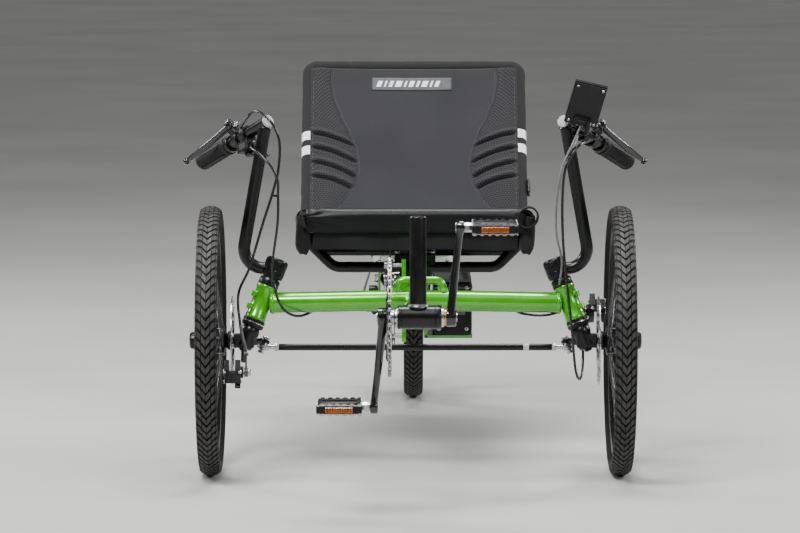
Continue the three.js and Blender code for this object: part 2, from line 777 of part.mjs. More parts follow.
{
  const spider = [];
  const arms = 5;
  for (let i = 0; i < arms; i++) {
    const angle = (2 * Math.PI * i) / arms + Math.PI / 2;
    const end = vec(-50.6, CRANK_Y + 74 * Math.cos(angle), CRANK_Z + 74 * Math.sin(angle));
    spider.push(tube([vec(-54, CRANK_Y, CRANK_Z), end], [6, 3.2], 6));
  }
  const spindle = rod(9, vec(-58, CRANK_Y, CRANK_Z), vec(62, CRANK_Y, CRANK_Z), 14);
  black("crank_right", join(crankRight(-1), spindle, ...spider));
  const leftCrank = mirrored(crankRight(1));
  const leftBore = rod(9.8, vec(30, CRANK_Y, CRANK_Z), vec(62.6, CRANK_Y, CRANK_Z), 14);
  black("crank_left", cut(leftCrank, leftBore));
  const ringProfile = [
    [RING_RADIUS - CHAIN_HALF_HEIGHT - 0.8, -1.2],
    [RING_RADIUS - CHAIN_HALF_HEIGHT - 0.8, 1.2],
  ];
  black("chainring", collar(66, ringProfile, vec(CHAIN_X, CRANK_Y, CRANK_Z), vec(1, 0, 0), 40));
  black("pedal_right", pedalRight(-1));
  black("pedal_left", mirrored(pedalRight(1)));
  addNode("reflector_right", reflectorRight(-1), 0xff7a12, 0.3, 0);
  addNode("reflector_left", mirrored(reflectorRight(1)), 0xff7a12, 0.3, 0);
}

// ---------------------------------------------------------------- handlebars
const GRIP_FRONT = vec(-265.5, FRONT_Y, 638);
const GRIP_BACK = vec(-390, FRONT_Y + 170, 553);
const GRIP_AXIS = GRIP_BACK.clone().sub(GRIP_FRONT).normalize();
const GRIP_END = GRIP_BACK.distanceTo(GRIP_FRONT);
const onGrip = (distance) => GRIP_FRONT.clone().addScaledVector(GRIP_AXIS, distance);
const GRIP_START = 130;
const PERCH_AT = 98;
const LEVER_PIVOT = vec(-335, FRONT_Y + 77, 626);
const LEVER_TIP = vec(-417, FRONT_Y + 127, 557);
const LEVER_AXIS = GRIP_AXIS.clone().cross(LEVER_TIP.clone().sub(LEVER_PIVOT)).normalize();

function handlebarRight() {
  const [low, high] = CLAMP;
  const clamp = turned(
    [
      [0, low],
      [19, low],
      [20, low + 3],
      [20, high - 4],
      [17, high],
      [0, high],
    ],
    AXIS_FOOT,
    AXIS_UP,
    16,
  );
  const start = onKingpin((low + high) / 2);
  const corner = vec(-316, FRONT_Y + 27, 372);
  const riser = tube(bent([start, corner, vec(-268, FRONT_Y + 8, 640)], 36, 5), BAR_RADIUS, 12);
  const grip = rod(BAR_RADIUS, GRIP_FRONT, onGrip(GRIP_END - 5), 12);
  const bore = rod(STEERER_RADIUS + 0.6, onKingpin(low - 10), onKingpin(high - 5), 16);
  return cut(join(clamp, riser, grip), bore);
}

const gripRight = turned(
  [
    [BAR_RADIUS + GAP, GRIP_START],
    [GRIP_RADIUS, GRIP_START],
    [GRIP_RADIUS, GRIP_END - 7],
    [GRIP_RADIUS - 5, GRIP_END],
    [0, GRIP_END],
    [0, GRIP_END - 5 + GAP],
    [BAR_RADIUS + GAP, GRIP_END - 5 + GAP],
    [BAR_RADIUS + GAP, GRIP_START],
  ],
  GRIP_FRONT,
  GRIP_AXIS,
  14,
);

// A ring that clamps round the grip tube at a distance from its front end.
function barCollar(at, halfWidth, outer) {
  const profile = [
    [outer, at - halfWidth],
    [outer, at + halfWidth],
  ];
  return collar(BAR_RADIUS + 0.9, profile, GRIP_FRONT, GRIP_AXIS, 12);
}

// A point on the lever's pivot axis, and a rod along that axis.
const onPivot = (distance) => LEVER_PIVOT.clone().addScaledVector(LEVER_AXIS, distance);
const pivotRod = (radius, from, to, sides) => rod(radius, onPivot(from), onPivot(to), sides);

const perchRight = (() => {
  const away = LEVER_PIVOT.clone().sub(onGrip(PERCH_AT)).normalize();
  const root = onGrip(PERCH_AT).addScaledVector(away, 13);
  const reach = tube([root, onPivot(-8)], 6.5, 8);
  const cheek = pivotRod(8, -12, -4.4, 12);
  const hubRoom = pivotRod(12, -4.4, 12, 12);
  return join(cut(join(barCollar(PERCH_AT, 8, 16), reach, cheek), hubRoom), pivotRod(3, -8, 6, 8));
})();

const leverRight = (() => {
  const hub = pivotRod(8, 4, -4, 12);
  const hole = pivotRod(3.6, 20, -20, 8);
  const span = LEVER_TIP.clone().sub(LEVER_PIVOT);
  const bow = GRIP_AXIS.clone().cross(LEVER_AXIS).normalize();
  const at = (share, lift) => LEVER_PIVOT.clone().addScaledVector(span, share).addScaledVector(bow, lift);
  const blade = tube([at(0.04, 0), at(0.3, -6), at(0.62, -5), at(0.96, 0)], [3.8, 4.6, 4.6, 3.6], 6);
  const ball = new THREE.SphereGeometry(6, 8, 6);
  ball.translate(LEVER_TIP.x, LEVER_TIP.y, LEVER_TIP.z);
  return cut(join(hub, blade, solid(ball)), hole);
})();

const barRight = handlebarRight();
black("handlebar_right", barRight);
black("handlebar_left", mirrored(barRight));
rubber("grip_right", gripRight);
rubber("grip_left", mirrored(gripRight));
black("brake_perch_right", perchRight);
black("brake_perch_left", mirrored(perchRight));
black("brake_lever_right", leverRight);
black("brake_lever_left", mirrored(leverRight));

// ---------------------------------------------------------------- seat
const FRONT_RAIL = [-207, 453]; // [y, z] of the seat's front tube
const CROTCH = [168, 373];
const TOP_RAIL = [417, 690];
const HOOP_Y = -140;
const STRUT_TOP = [362, 620];

const railPoint = (x, [y, z]) => vec(x, y, z);
const lerpRail = (from, to, share) => from.map((value, i) => value + (to[i] - value) * share);

const seatRails = (() => {
  const line = [
    railPoint(2, FRONT_RAIL),
    railPoint(-SEAT_HALF, FRONT_RAIL),
    railPoint(-SEAT_HALF, CROTCH),
    railPoint(-SEAT_HALF, TOP_RAIL),
    railPoint(2, TOP_RAIL),
  ];
  return (radius, sides) => tube(bent(line, 26, 3), radius, sides);
})();

const hoopHalf = (radius) => {
  const line = [
    vec(-SEAT_HALF, HOOP_Y, 437),
    vec(-190, HOOP_Y, 392),
    vec(-150, HOOP_Y, 353),
    vec(2, HOOP_Y, 353),
  ];
  return tube(bent(line, 30, 2), radius, 8);
};

const crossBarHalf = (radius) => {
  const [y] = CROTCH;
  return tube([vec(-SEAT_HALF, y, CROTCH[1]), vec(-176, y, 352), vec(2, y, 352)], radius, 8);
};

const strutRight = (radius) => {
  const top = railPoint(-SEAT_HALF, STRUT_TOP);
  return tube([top, vec(-84, 672, 316), vec(-81, 694, 290)], radius, 8);
};

{
  const clamp = block([76, 100, 44], vec(0, -100, 358));
  const clampFoot = rod(5, vec(-81, 692, 293), vec(-73, 692, 293), 8);
  const half = join(seatRails(SEAT_RAIL, 10), hoopHalf(10), crossBarHalf(8), strutRight(7), clampFoot);
  const whole = join(half, mirrored(half), clamp);
  black("seat_frame", cut(whole, rod(MAIN_RADIUS + 1.5, vec(0, -200, 315.6), vec(0, 0, 315.6), 16)));
}

// A flat cloth from one side rail to the other, standing off along a direction from the rail line.
function clothSheet(from, to, standOff, thickness, halfWidth) {
  const [ay, az] = from;
  const [by, bz] = to;
  const length = Math.hypot(by - ay, bz - az);
  const along = vec(0, (by - ay) / length, (bz - az) / length);
  const outward = along.clone().cross(vec(-1, 0, 0));
  const middle = vec(0, (ay + by) / 2, (az + bz) / 2).addScaledVector(outward, standOff - thickness / 2);
  return block([2 * halfWidth, length, thickness], middle, vec(1, 0, 0), along);
}

{
  const edge = lerpRail(FRONT_RAIL, CROTCH, 0.98);
  const line = [railPoint(2, FRONT_RAIL), railPoint(-SEAT_HALF, FRONT_RAIL), railPoint(-SEAT_HALF, edge)];
  const sleeve = tube(bent(line, 26, 3), SEAT_SLEEVE, 10);
  const sheet = clothSheet(FRONT_RAIL, edge, SEAT_SLEEVE, 3, SEAT_HALF - 4);
  const apron = block([2 * SEAT_HALF - 40, 3, 62], vec(0, FRONT_RAIL[0] - 10.5, FRONT_RAIL[1] - 33));
  const flap = block([22, 26, 56], vec(-SEAT_HALF - 2, FRONT_RAIL[0], FRONT_RAIL[1] - 40));
  const whole = join(sleeve, mirrored(sleeve), sheet, apron, flap, mirrored(flap));
  const half = join(seatRails(SEAT_BORE, 10), hoopHalf(10.8));
  fabric("seat_base", cut(whole, half, mirrored(half)));
}

{
  const start = lerpRail(CROTCH, TOP_RAIL, 0.05);
  const line = [railPoint(2, TOP_RAIL), railPoint(-SEAT_HALF, TOP_RAIL), railPoint(-SEAT_HALF, start)];
  const sleeve = tube(bent(line, 26, 3), SEAT_SLEEVE, 10);
  const sheet = clothSheet(start, TOP_RAIL, SEAT_SLEEVE, 3, SEAT_HALF - 4);
  const half = join(seatRails(SEAT_BORE, 10), strutRight(7.8));
  fabric("seat_back", cut(join(sleeve, mirrored(sleeve), sheet), half, mirrored(half)));
}

// ---------------------------------------------------------------- battery
{
  const body = block([74, 330, 104], vec(72, 160, 262));
  const handle = block([30, 60, 10], vec(72, -10, 319));
  plastic("battery_case", join(body, handle));
}

// ---------------------------------------------------------------- controls
{
  const at = onGrip(70);
  const ring = barCollar(70, 7, 15.5);
  const below = vec(0.1, -0.35, -1).projectOnPlane(GRIP_AXIS).normalize();
  const bodyMiddle = at.clone().addScaledVector(below, 24);
  const body = block([36, 30, 20], bodyMiddle, GRIP_AXIS, below.clone().cross(GRIP_AXIS));
  const pinFoot = at.clone().addScaledVector(below, 30);
  const pinEnd = at.clone().addScaledVector(below, 44);
  plastic("shifter", join(ring, body, rod(3, pinFoot, pinEnd, 8)));
  const hubStart = at.clone().addScaledVector(below, 34.6);
  const hubEnd = at.clone().addScaledVector(below, 41);
  const reachOut = below.clone().cross(GRIP_AXIS).normalize();
  const middle = hubStart.clone().add(hubEnd).multiplyScalar(0.5);
  const paddle = block([14, 40, 5], middle.clone().addScaledVector(reachOut, 20), GRIP_AXIS, reachOut);
  const hub = rod(8, hubStart, hubEnd, 12);
  const pinHole = rod(3.6, at, pinEnd.clone().addScaledVector(below, 9), 8);
  plastic("shift_paddle", cut(join(hub, paddle), pinHole));
}

{
  const mirrorX = (v) => vec(-v.x, v.y, v.z);
  const axis = mirrorX(GRIP_AXIS);
  const onLeft = (distance) => mirrorX(onGrip(distance));
  const slabUp = vec(0.24, -0.36, 0.9).normalize();
  const slabAcross = vec(1, 0, 0).projectOnPlane(slabUp).normalize();
  const slabMiddle = vec(304, FRONT_Y - 27, 671);
  const slabBack = slabUp.clone().cross(slabAcross).normalize();
  const slab = block([60, 84, 12], slabMiddle, slabAcross, slabUp);
  const pivotMiddle = slabMiddle.clone().addScaledVector(slabUp, -30).addScaledVector(slabBack, -13);
  const pivotAt = (distance) => pivotMiddle.clone().addScaledVector(slabAcross, distance);
  const lug = rod(5, pivotAt(-7), pivotAt(7), 10);
  const lugNeck = block([12, 10, 12], pivotAt(0).addScaledVector(slabBack, 6), slabAcross, slabUp);
  const lugHole = rod(2.8, pivotAt(-20), pivotAt(20), 8);
  plastic("display", cut(join(slab, lug, lugNeck), lugHole));
  const ring = mirrored(barCollar(39, 6, 15.5));
  const root = onLeft(39);
  const elbow = pivotAt(13).addScaledVector(slabUp, -20).addScaledVector(slabBack, -2);
  const toElbow = elbow.clone().sub(root).projectOnPlane(axis).normalize();
  const stalk = tube([root.clone().addScaledVector(toElbow, 14.5), elbow, pivotAt(13)], 4.5, 8);
  const pin = rod(2.2, pivotAt(14), pivotAt(-8), 8);
  plastic("display_mount", join(ring, stalk, rod(5, pivotAt(7.6), pivotAt(15), 10), pin));

  const padRing = mirrored(barCollar(66, 7, 15.5));
  const padUp = vec(-0.45, -0.4, 0.8).projectOnPlane(axis).normalize();
  const padMiddle = onLeft(66).addScaledVector(padUp, 23);
  const padSide = padUp.clone().cross(axis).normalize();
  const pad = block([30, 34, 16], padMiddle, axis, padSide);
  const overPad = (distance) => padMiddle.clone().addScaledVector(padUp, distance);
  const well = rod(6, overPad(3), overPad(12), 12);
  plastic("keypad", cut(join(padRing, pad), well));
  const buttonLow = padMiddle.clone().addScaledVector(padUp, 5.5);
  const buttonHigh = padMiddle.clone().addScaledVector(padUp, 10.5);
  plastic("keypad_button", rod(5.3, buttonLow, buttonHigh, 12));
}

// ---------------------------------------------------------------- cables
const CABLE_RADIUS = 2.5;

// A cable along a smooth line. Places are [x, behind the front axle, z].
function cable(places, points) {
  const curve = new THREE.CatmullRomCurve3(places.map(([x, y, z]) => vec(x, FRONT_Y + y, z)));
  return tube(curve.getSpacedPoints(points), CABLE_RADIUS, 5);
}

// The rider's right: the brake cable and the gear cable's loop, held together by one tie.
{
  const brake = cable(
    [
      [-312, 54, 630],
      [-290, 18, 654],
      [-262, -20, 640],
      [-244, -24, 594],
      [-256, -22, 512],
      [-273, -18, 459],
      [-298, -12, 377],
      [-318, -14, 330],
      [-315, -34, 280],
      [-304, -48, 232],
    ],
    26,
  );
  const loop = cable(
    [
      [-292, 26, 597],
      [-296, 4, 592],
      [-280, -24, 582],
      [-256, -38, 560],
      [-246, -38, 512],
      [-247, -34, 459],
      [-256, -22, 392],
      [-257, -18, 350],
    ],
    18,
  );
  const tie = tube([vec(-259, FRONT_Y - 20, 503), vec(-243, FRONT_Y - 40, 503)], 4, 6);
  plastic("cables_right", join(brake, loop, tie));
}

plastic(
  "brake_cable_left",
  cable(
    [
      [326, 52, 604],
      [314, 8, 604],
      [290, -40, 596],
      [268, -48, 560],
      [264, -38, 423],
      [271, -36, 350],
      [279, -36, 277],
      [286, -24, 205],
      [297, 10, 172],
      [304, 50, 205],
      [304, 68, 258],
    ],
    28,
  ),
);

// The gear cable from its stop on the head tube, along the frame, to the rear gear arm.
plastic(
  "shift_cable",
  cable(
    [
      [-252, -21, 343],
      [-246, -25, 318],
      [-232, -20, 297],
      [-212, -4, 288],
      [-194, 18, 290],
      [-168, 27, 302],
      [-120, 28, 306],
      [-66, 32, 300],
      [-24, 60, 287],
      [-8, 110, 287],
      [-8, 380, 287],
      [-12, 750, 286],
      [-46, 810, 279],
      [-84, 880, 284],
      [-90, 1000, 262],
      [-101, 1100, 218],
    ],
    60,
  ),
);

export default group;
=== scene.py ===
import math
import random

import bpy
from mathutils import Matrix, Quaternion, Vector


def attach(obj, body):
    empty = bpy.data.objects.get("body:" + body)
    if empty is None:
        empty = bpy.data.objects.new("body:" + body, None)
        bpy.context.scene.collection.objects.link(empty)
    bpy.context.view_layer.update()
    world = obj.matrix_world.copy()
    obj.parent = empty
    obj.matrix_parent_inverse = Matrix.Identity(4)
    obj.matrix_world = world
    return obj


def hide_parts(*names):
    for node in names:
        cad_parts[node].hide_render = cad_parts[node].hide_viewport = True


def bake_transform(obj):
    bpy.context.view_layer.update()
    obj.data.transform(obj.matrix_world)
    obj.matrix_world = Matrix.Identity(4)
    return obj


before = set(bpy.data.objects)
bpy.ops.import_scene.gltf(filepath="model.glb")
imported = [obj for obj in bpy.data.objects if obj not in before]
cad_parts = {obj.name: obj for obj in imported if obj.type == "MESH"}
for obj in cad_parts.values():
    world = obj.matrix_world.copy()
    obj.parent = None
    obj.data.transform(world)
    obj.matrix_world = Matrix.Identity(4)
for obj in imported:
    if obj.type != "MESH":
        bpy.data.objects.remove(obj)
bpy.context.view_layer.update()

# ------------------------------------------------------------ driving dimensions, in millimetres
MM = 0.001
WHEEL_RADIUS = 243
RIM_OUTER = 209
RIM_INNER = 190
HALF_TRACK = 368.5
FRONT_Y = -370.8
REAR_Y = 729.2
ROTOR_X = 330
CRANK_Y = -870.8
CRANK_Z = 341
CRANK_LENGTH = 152
CHAIN_X = -46
CHAIN_PITCH = 12.7
RING_TEETH = 48
COG_TEETH = [11, 13, 16, 19, 22, 25, 28, 32]
COG_IN_USE = 3
COG_SPACING = 4.4
JOCKEY_TEETH = 11
IDLER_PITCH_RADIUS = 28
ARM_Z = 316.5
ARM_RADIUS = 18.7
MAIN_RADIUS = 19
KINGPIN_X = 304.9
HEAD_TUBE = (41, 105)
STEERER_RADIUS = 14.3
CLAMP = (122, 158)
BAR_RADIUS = 11.1
SEAT_HALF = 204
SLEEVE_RADIUS = 14.2
SLEEVE_SIDES = 28
SLEEVE_UNEVENNESS = 0.35
STITCH_LENGTH = 3.0
STITCH_GAP = 2.2
STITCH_RADIUS = 0.45
FRONT_RAIL = (-207, 453)
CROTCH = (168, 373)
TOP_RAIL = (417, 690)
DROPOUT_X = 69.4
SPOKES = 32
TREAD_LUGS = 92


# ------------------------------------------------------------ small geometry helpers
def vec(x, y, z):
    return Vector((x, y, z))


UP_X = vec(1, 0, 0)
AXIS_UP = vec(0.397, 0.2126, 1).normalized()
AXIS_FOOT = vec(-KINGPIN_X, FRONT_Y, WHEEL_RADIUS)


def on_kingpin(distance):
    return AXIS_FOOT + AXIS_UP * distance


def bent(corners, bend, steps=8):
    """A line through the corners whose inner corners are arcs of the bend radius."""
    points = [corners[0]]
    for i in range(1, len(corners) - 1):
        back = (corners[i - 1] - corners[i]).normalized()
        ahead = (corners[i + 1] - corners[i]).normalized()
        half = back.angle(ahead) / 2
        setback = bend / math.tan(half)
        centre = corners[i] + (back + ahead).normalized() * (bend / math.sin(half))
        start = corners[i] + back * setback - centre
        end = corners[i] + ahead * setback - centre
        sweep = start.angle(end)
        for k in range(steps + 1):
            share = k / steps
            a = math.sin((1 - share) * sweep) / math.sin(sweep)
            b = math.sin(share * sweep) / math.sin(sweep)
            points.append(centre + start * a + end * b)
    points.append(corners[-1])
    return points


def smooth_line(places, per_span=8):
    """A Catmull-Rom line through the places."""
    points = []
    last = len(places) - 1
    for i in range(last):
        p0 = places[max(i - 1, 0)]
        p1 = places[i]
        p2 = places[i + 1]
        p3 = places[min(i + 2, last)]
        for k in range(per_span):
            t = k / per_span
            point = p1 * 2 + (p2 - p0) * t
            point += (p0 * 2 - p1 * 5 + p2 * 4 - p3) * t * t
            point += (p1 * 3 - p0 - p2 * 3 + p3) * t * t * t
            points.append(point * 0.5)
    points.append(places[-1])
    return points


def tangents(points):
    """The direction of a line at each of its points."""
    result = []
    for i, point in enumerate(points):
        before = points[max(i - 1, 0)]
        after = points[min(i + 1, len(points) - 1)]
        arriving = (point - before).normalized()
        leaving = (after - point).normalized()
        result.append((arriving + leaving).normalized())
    return result


class Shape:
    """Collects surfaces in millimetres, then becomes one mesh."""

    def __init__(self):
        self.points = []
        self.faces = []
        self.slots = []
        self.slot = 0

    def add(self, points, faces):
        start = len(self.points)
        self.points.extend(points)
        self.faces.extend([start + i for i in face] for face in faces)
        self.slots.extend(self.slot for _ in faces)
        return self

    def rings(self, rings, closed=False):
        """Joins rings of equally many points: into a loop if closed, otherwise with a cap on both ends."""
        sides = len(rings[0])
        faces = []
        spans = len(rings) if closed else len(rings) - 1
        for r in range(spans):
            here = r * sides
            there = ((r + 1) % len(rings)) * sides
            for s in range(sides):
                n = (s + 1) % sides
                faces.append([here + s, here + n, there + n, there + s])
        if not closed:
            faces.append(list(range(sides))[::-1])
            faces.append([(len(rings) - 1) * sides + s for s in range(sides)])
        return self.add([p for ring in rings for p in ring], faces)

    def pipe(self, points, radius, sides=24, flat=1.0):
        """A round bar through the points; flat squeezes it across its first direction."""
        along = tangents(points)
        start = vec(0, 0, 1) if abs(along[0].z) < 0.9 else vec(1, 0, 0)
        across = start.cross(along[0]).normalized()
        rings = []
        for i, point in enumerate(points):
            if i > 0:
                across = along[i - 1].rotation_difference(along[i]) @ across
            up = along[i].cross(across)
            r = radius[i] if isinstance(radius, (list, tuple)) else radius
            ring = []
            for s in range(sides):
                angle = 2 * math.pi * s / sides
                ring.append(point + across * (r * flat * math.cos(angle)) + up * (r * math.sin(angle)))
            rings.append(ring)
        return self.rings(rings)

    def rod(self, radius, start, end, sides=24, chamfer=0.0):
        """A straight round bar, with its end edges broken by the chamfer."""
        if chamfer <= 0:
            return self.pipe([start, end], radius, sides)
        along = (end - start).normalized() * chamfer
        points = [start, start + along, end - along, end]
        inner = radius - chamfer
        return self.pipe(points, [inner, radius, radius, inner], sides)

    def lathe(self, profile, origin, axis, segments=48):
        """Turns (radius, height) pairs about an axis. The profile ends on the axis or meets its start."""
        axis = axis.normalized()
        turn = vec(0, 0, 1).rotation_difference(axis)
        across = turn @ vec(1, 0, 0)
        up = turn @ vec(0, 1, 0)
        start = len(self.points)
        rows = []
        for radius, height in profile:
            middle = origin + axis * height
            if radius < 1e-6:
                rows.append([start])
                self.points.append(middle)
                start += 1
                continue
            row = []
            for s in range(segments):
                angle = 2 * math.pi * s / segments
                offset = across * (radius * math.cos(angle)) + up * (radius * math.sin(angle))
                self.points.append(middle + offset)
                row.append(start)
                start += 1
            rows.append(row)
        for a, b in zip(rows, rows[1:]):
            for s in range(segments):
                n = (s + 1) % segments
                if len(a) == 1 and len(b) == 1:
                    continue
                if len(a) == 1:
                    face = [a[0], b[n], b[s]]
                elif len(b) == 1:
                    face = [a[s], a[n], b[0]]
                else:
                    face = [a[s], a[n], b[n], b[s]]
                self.faces.append(face)
                self.slots.append(self.slot)
        return self

    def block(self, size, middle, x_axis=UP_X, y_axis=Vector((0, 1, 0))):
        x = x_axis.normalized()
        z = x.cross(y_axis).normalized()
        y = z.cross(x)
        points = []
        for k in (-0.5, 0.5):
            for a, b in ((-0.5, -0.5), (0.5, -0.5), (0.5, 0.5), (-0.5, 0.5)):
                points.append(middle + x * (a * size[0]) + y * (b * size[1]) + z * (k * size[2]))
        faces = [[3, 2, 1, 0], [4, 5, 6, 7], [0, 1, 5, 4], [1, 2, 6, 5], [2, 3, 7, 6], [3, 0, 4, 7]]
        return self.add(points, faces)

    def plate(self, outline, thickness, origin, x_axis, y_axis):
        """A flat outline given some thickness along its normal."""
        x = x_axis.normalized()
        z = x.cross(y_axis).normalized()
        y = z.cross(x)
        low = [origin + x * a + y * b - z * (thickness / 2) for a, b in outline]
        high = [point + z * thickness for point in low]
        return self.rings([low, high])

    def ball(self, radius, middle, segments=16):
        profile = []
        for k in range(segments // 2 + 1):
            angle = math.pi * k / (segments // 2)
            profile.append((radius * math.sin(angle), -radius * math.cos(angle)))
        profile[0] = (0, -radius)
        profile[-1] = (0, radius)
        return self.lathe(profile, middle, vec(0, 0, 1), segments)

    def mirrored(self):
        other = Shape()
        other.points = [vec(-p.x, p.y, p.z) for p in self.points]
        other.faces = [face[::-1] for face in self.faces]
        other.slots = list(self.slots)
        return other

    def merged(self, other):
        start = len(self.points)
        self.points.extend(other.points)
        self.faces.extend([start + i for i in face] for face in other.faces)
        self.slots.extend(other.slots)
        return self


def build(name, shape, materials, body, replaces=(), bevel=0.0, angle=38):
    """Turns a Shape into an object that rides on a body. Its slot is its first finish's, if none is given."""
    mesh = bpy.data.meshes.new(name)
    mesh.from_pydata([p * MM for p in shape.points], [], shape.faces)
    if not isinstance(materials, (list, tuple)):
        materials = [materials]
    for material in materials:
        mesh.materials.append(material)
    mesh.polygons.foreach_set("material_index", shape.slots)
    mesh.polygons.foreach_set("use_smooth", [True] * len(mesh.polygons))
    mesh.update()
    mesh.set_sharp_from_angle(angle=math.radians(angle))
    obj = bpy.data.objects.new(name, mesh)
    bpy.context.scene.collection.objects.link(obj)
    if bevel:
        edge = obj.modifiers.new("edges", "BEVEL")
        edge.width = bevel * MM
        edge.segments = 2
        edge.limit_method = "ANGLE"
        edge.angle_limit = math.radians(40)
        edge.harden_normals = True
    if body:
        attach(obj, body)
    if replaces:
        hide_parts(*replaces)
    return obj


# ------------------------------------------------------------ materials
def node_material(name):
    material = bpy.data.materials.new(name)
    material.use_nodes = True
    nodes = material.node_tree.nodes
    links = material.node_tree.links
    shader = nodes["Principled BSDF"]
    place = nodes.new("ShaderNodeTexCoord")
    return material, nodes, links, shader, place


def noise_node(nodes, links, source, scale, detail=4.0):
    noise = nodes.new("ShaderNodeTexNoise")
    noise.inputs["Scale"].default_value = scale
    noise.inputs["Detail"].default_value = detail
    links.new(source, noise.inputs["Vector"])
    return noise.outputs["Fac"]


def ramp_node(nodes, links, source, stops):
    ramp = nodes.new("ShaderNodeValToRGB")
    elements = ramp.color_ramp.elements
    elements[0].position = stops[0][0]
    elements[0].color = (*stops[0][1], 1)
    elements[1].position = stops[-1][0]
    elements[1].color = (*stops[-1][1], 1)
    for position, colour in stops[1:-1]:
        element = elements.new(position)
        element.color = (*colour, 1)
    links.new(source, ramp.inputs["Fac"])
    return ramp.outputs["Color"]


def range_node(nodes, links, source, low, high):
    remap = nodes.new("ShaderNodeMapRange")
    remap.inputs["From Min"].default_value = 0.3
    remap.inputs["From Max"].default_value = 0.7
    remap.inputs["To Min"].default_value = low
    remap.inputs["To Max"].default_value = high
    links.new(source, remap.inputs["Value"])
    return remap.outputs["Result"]


def bump_node(nodes, links, height, strength, distance, under=None):
    bump = nodes.new("ShaderNodeBump")
    bump.inputs["Strength"].default_value = strength
    bump.inputs["Distance"].default_value = distance
    links.new(height, bump.inputs["Height"])
    if under is not None:
        links.new(under, bump.inputs["Normal"])
    return bump.outputs["Normal"]


def surface(
    name, dark, light, rough, metal=0.0, scale=60.0, grain=900.0, grain_depth=0.02, coat=0.0, spread=0.05,
    gleam=0.5,
):
    """A plain finish: two close colours mixed by noise, uneven roughness and a fine grain."""
    material, nodes, links, shader, place = node_material(name)
    wide = noise_node(nodes, links, place.outputs["Object"], scale)
    fine = noise_node(nodes, links, place.outputs["Object"], grain, 2.0)
    links.new(ramp_node(nodes, links, wide, [(0.3, dark), (0.7, light)]), shader.inputs["Base Color"])
    links.new(range_node(nodes, links, wide, rough - spread, rough + spread), shader.inputs["Roughness"])
    links.new(bump_node(nodes, links, fine, grain_depth, 0.0004), shader.inputs["Normal"])
    shader.inputs["Metallic"].default_value = metal
    shader.inputs["Specular IOR Level"].default_value = gleam
    shader.inputs["Coat Weight"].default_value = coat
    shader.inputs["Coat Roughness"].default_value = 0.06
    return material


def grid_pattern(nodes, links, uv, across, along, stagger):
    """Distance from the middle of the nearest cell of a grid, with every other row shifted."""

    def math_node(operation, a, b=None):
        node = nodes.new("ShaderNodeMath")
        node.operation = operation
        for socket, value in zip(node.inputs, (a, b)):
            if value is None:
                continue
            if isinstance(value, (int, float)):
                socket.default_value = value
            else:
                links.new(value, socket)
        return node.outputs["Value"]

    split = nodes.new("ShaderNodeSeparateXYZ")
    links.new(uv, split.inputs["Vector"])
    v = math_node("DIVIDE", split.outputs["Y"], along)
    row = math_node("FLOOR", v)
    shift = math_node("MULTIPLY", math_node("FLOORED_MODULO", row, 2.0), stagger)
    u = math_node("ADD", math_node("DIVIDE", split.outputs["X"], across), shift)
    du = math_node("ABSOLUTE", math_node("SUBTRACT", math_node("FRACT", u), 0.5))
    dv = math_node("ABSOLUTE", math_node("SUBTRACT", math_node("FRACT", v), 0.5))
    return math_node("SQRT", math_node("ADD", math_node("POWER", du, 2.0), math_node("POWER", dv, 2.0)))


def cloth(name, dark, light, across, along, stagger, depth, sheen, shine=0.82):
    """Woven cloth: threads or holes from a fine grid in the UV map, which is in metres."""
    material, nodes, links, shader, place = node_material(name)
    cell = grid_pattern(nodes, links, place.outputs["UV"], across, along, stagger)
    wide = noise_node(nodes, links, place.outputs["Object"], 9.0, 5.0)
    fuzz = noise_node(nodes, links, place.outputs["Object"], 700.0, 3.0)
    threads = ramp_node(nodes, links, cell, [(0.22, dark), (0.46, light)])
    mix = nodes.new("ShaderNodeMixRGB")
    mix.blend_type = "MULTIPLY"
    mix.inputs["Fac"].default_value = 0.5
    links.new(threads, mix.inputs["Color1"])
    links.new(
        ramp_node(nodes, links, wide, [(0.3, (0.62, 0.62, 0.64)), (0.7, (1, 1, 1))]), mix.inputs["Color2"],
    )
    links.new(mix.outputs["Color"], shader.inputs["Base Color"])
    links.new(range_node(nodes, links, fuzz, shine - 0.1, shine + 0.1), shader.inputs["Roughness"])
    woven = bump_node(nodes, links, cell, depth, 0.0006)
    links.new(bump_node(nodes, links, fuzz, 0.15, 0.0003, woven), shader.inputs["Normal"])
    shader.inputs["Sheen Weight"].default_value = sheen
    shader.inputs["Specular IOR Level"].default_value = 0.22
    shader.inputs["Sheen Roughness"].default_value = 0.5
    return material


GREEN = surface(
    "lime_paint", dark=(0.040, 0.33, 0.0), light=(0.060, 0.40, 0.0005), rough=0.24, metal=0.30, scale=30,
    grain=2500, grain_depth=0.03, coat=1.0, spread=0.03,
)
SATIN = surface(
    "satin_black", dark=(0.0022, 0.0022, 0.0024), light=(0.0045, 0.0045, 0.005), rough=0.30, metal=0.0,
    scale=40, grain=1500, grain_depth=0.10, coat=0.10, gleam=0.34,
)
ALLOY = surface(
    "black_alloy", dark=(0.006, 0.006, 0.0065), light=(0.012, 0.012, 0.013), rough=0.30, metal=0.3, scale=90,
    grain=1800, grain_depth=0.08, gleam=0.4,
)
GREY_ALLOY = surface(
    "grey_alloy", dark=(0.10, 0.10, 0.105), light=(0.17, 0.17, 0.175), rough=0.36, metal=0.8, scale=80,
    grain=1500, grain_depth=0.06,
)
STEEL = surface(
    "bright_steel", dark=(0.46, 0.46, 0.47), light=(0.66, 0.66, 0.67), rough=0.26, metal=1.0, scale=120,
    grain=900, grain_depth=0.05,
)
DULL_STEEL = surface(
    "chain_steel", dark=(0.20, 0.19, 0.18), light=(0.46, 0.45, 0.44), rough=0.34, metal=1.0, scale=300,
    grain=900, grain_depth=0.10,
)
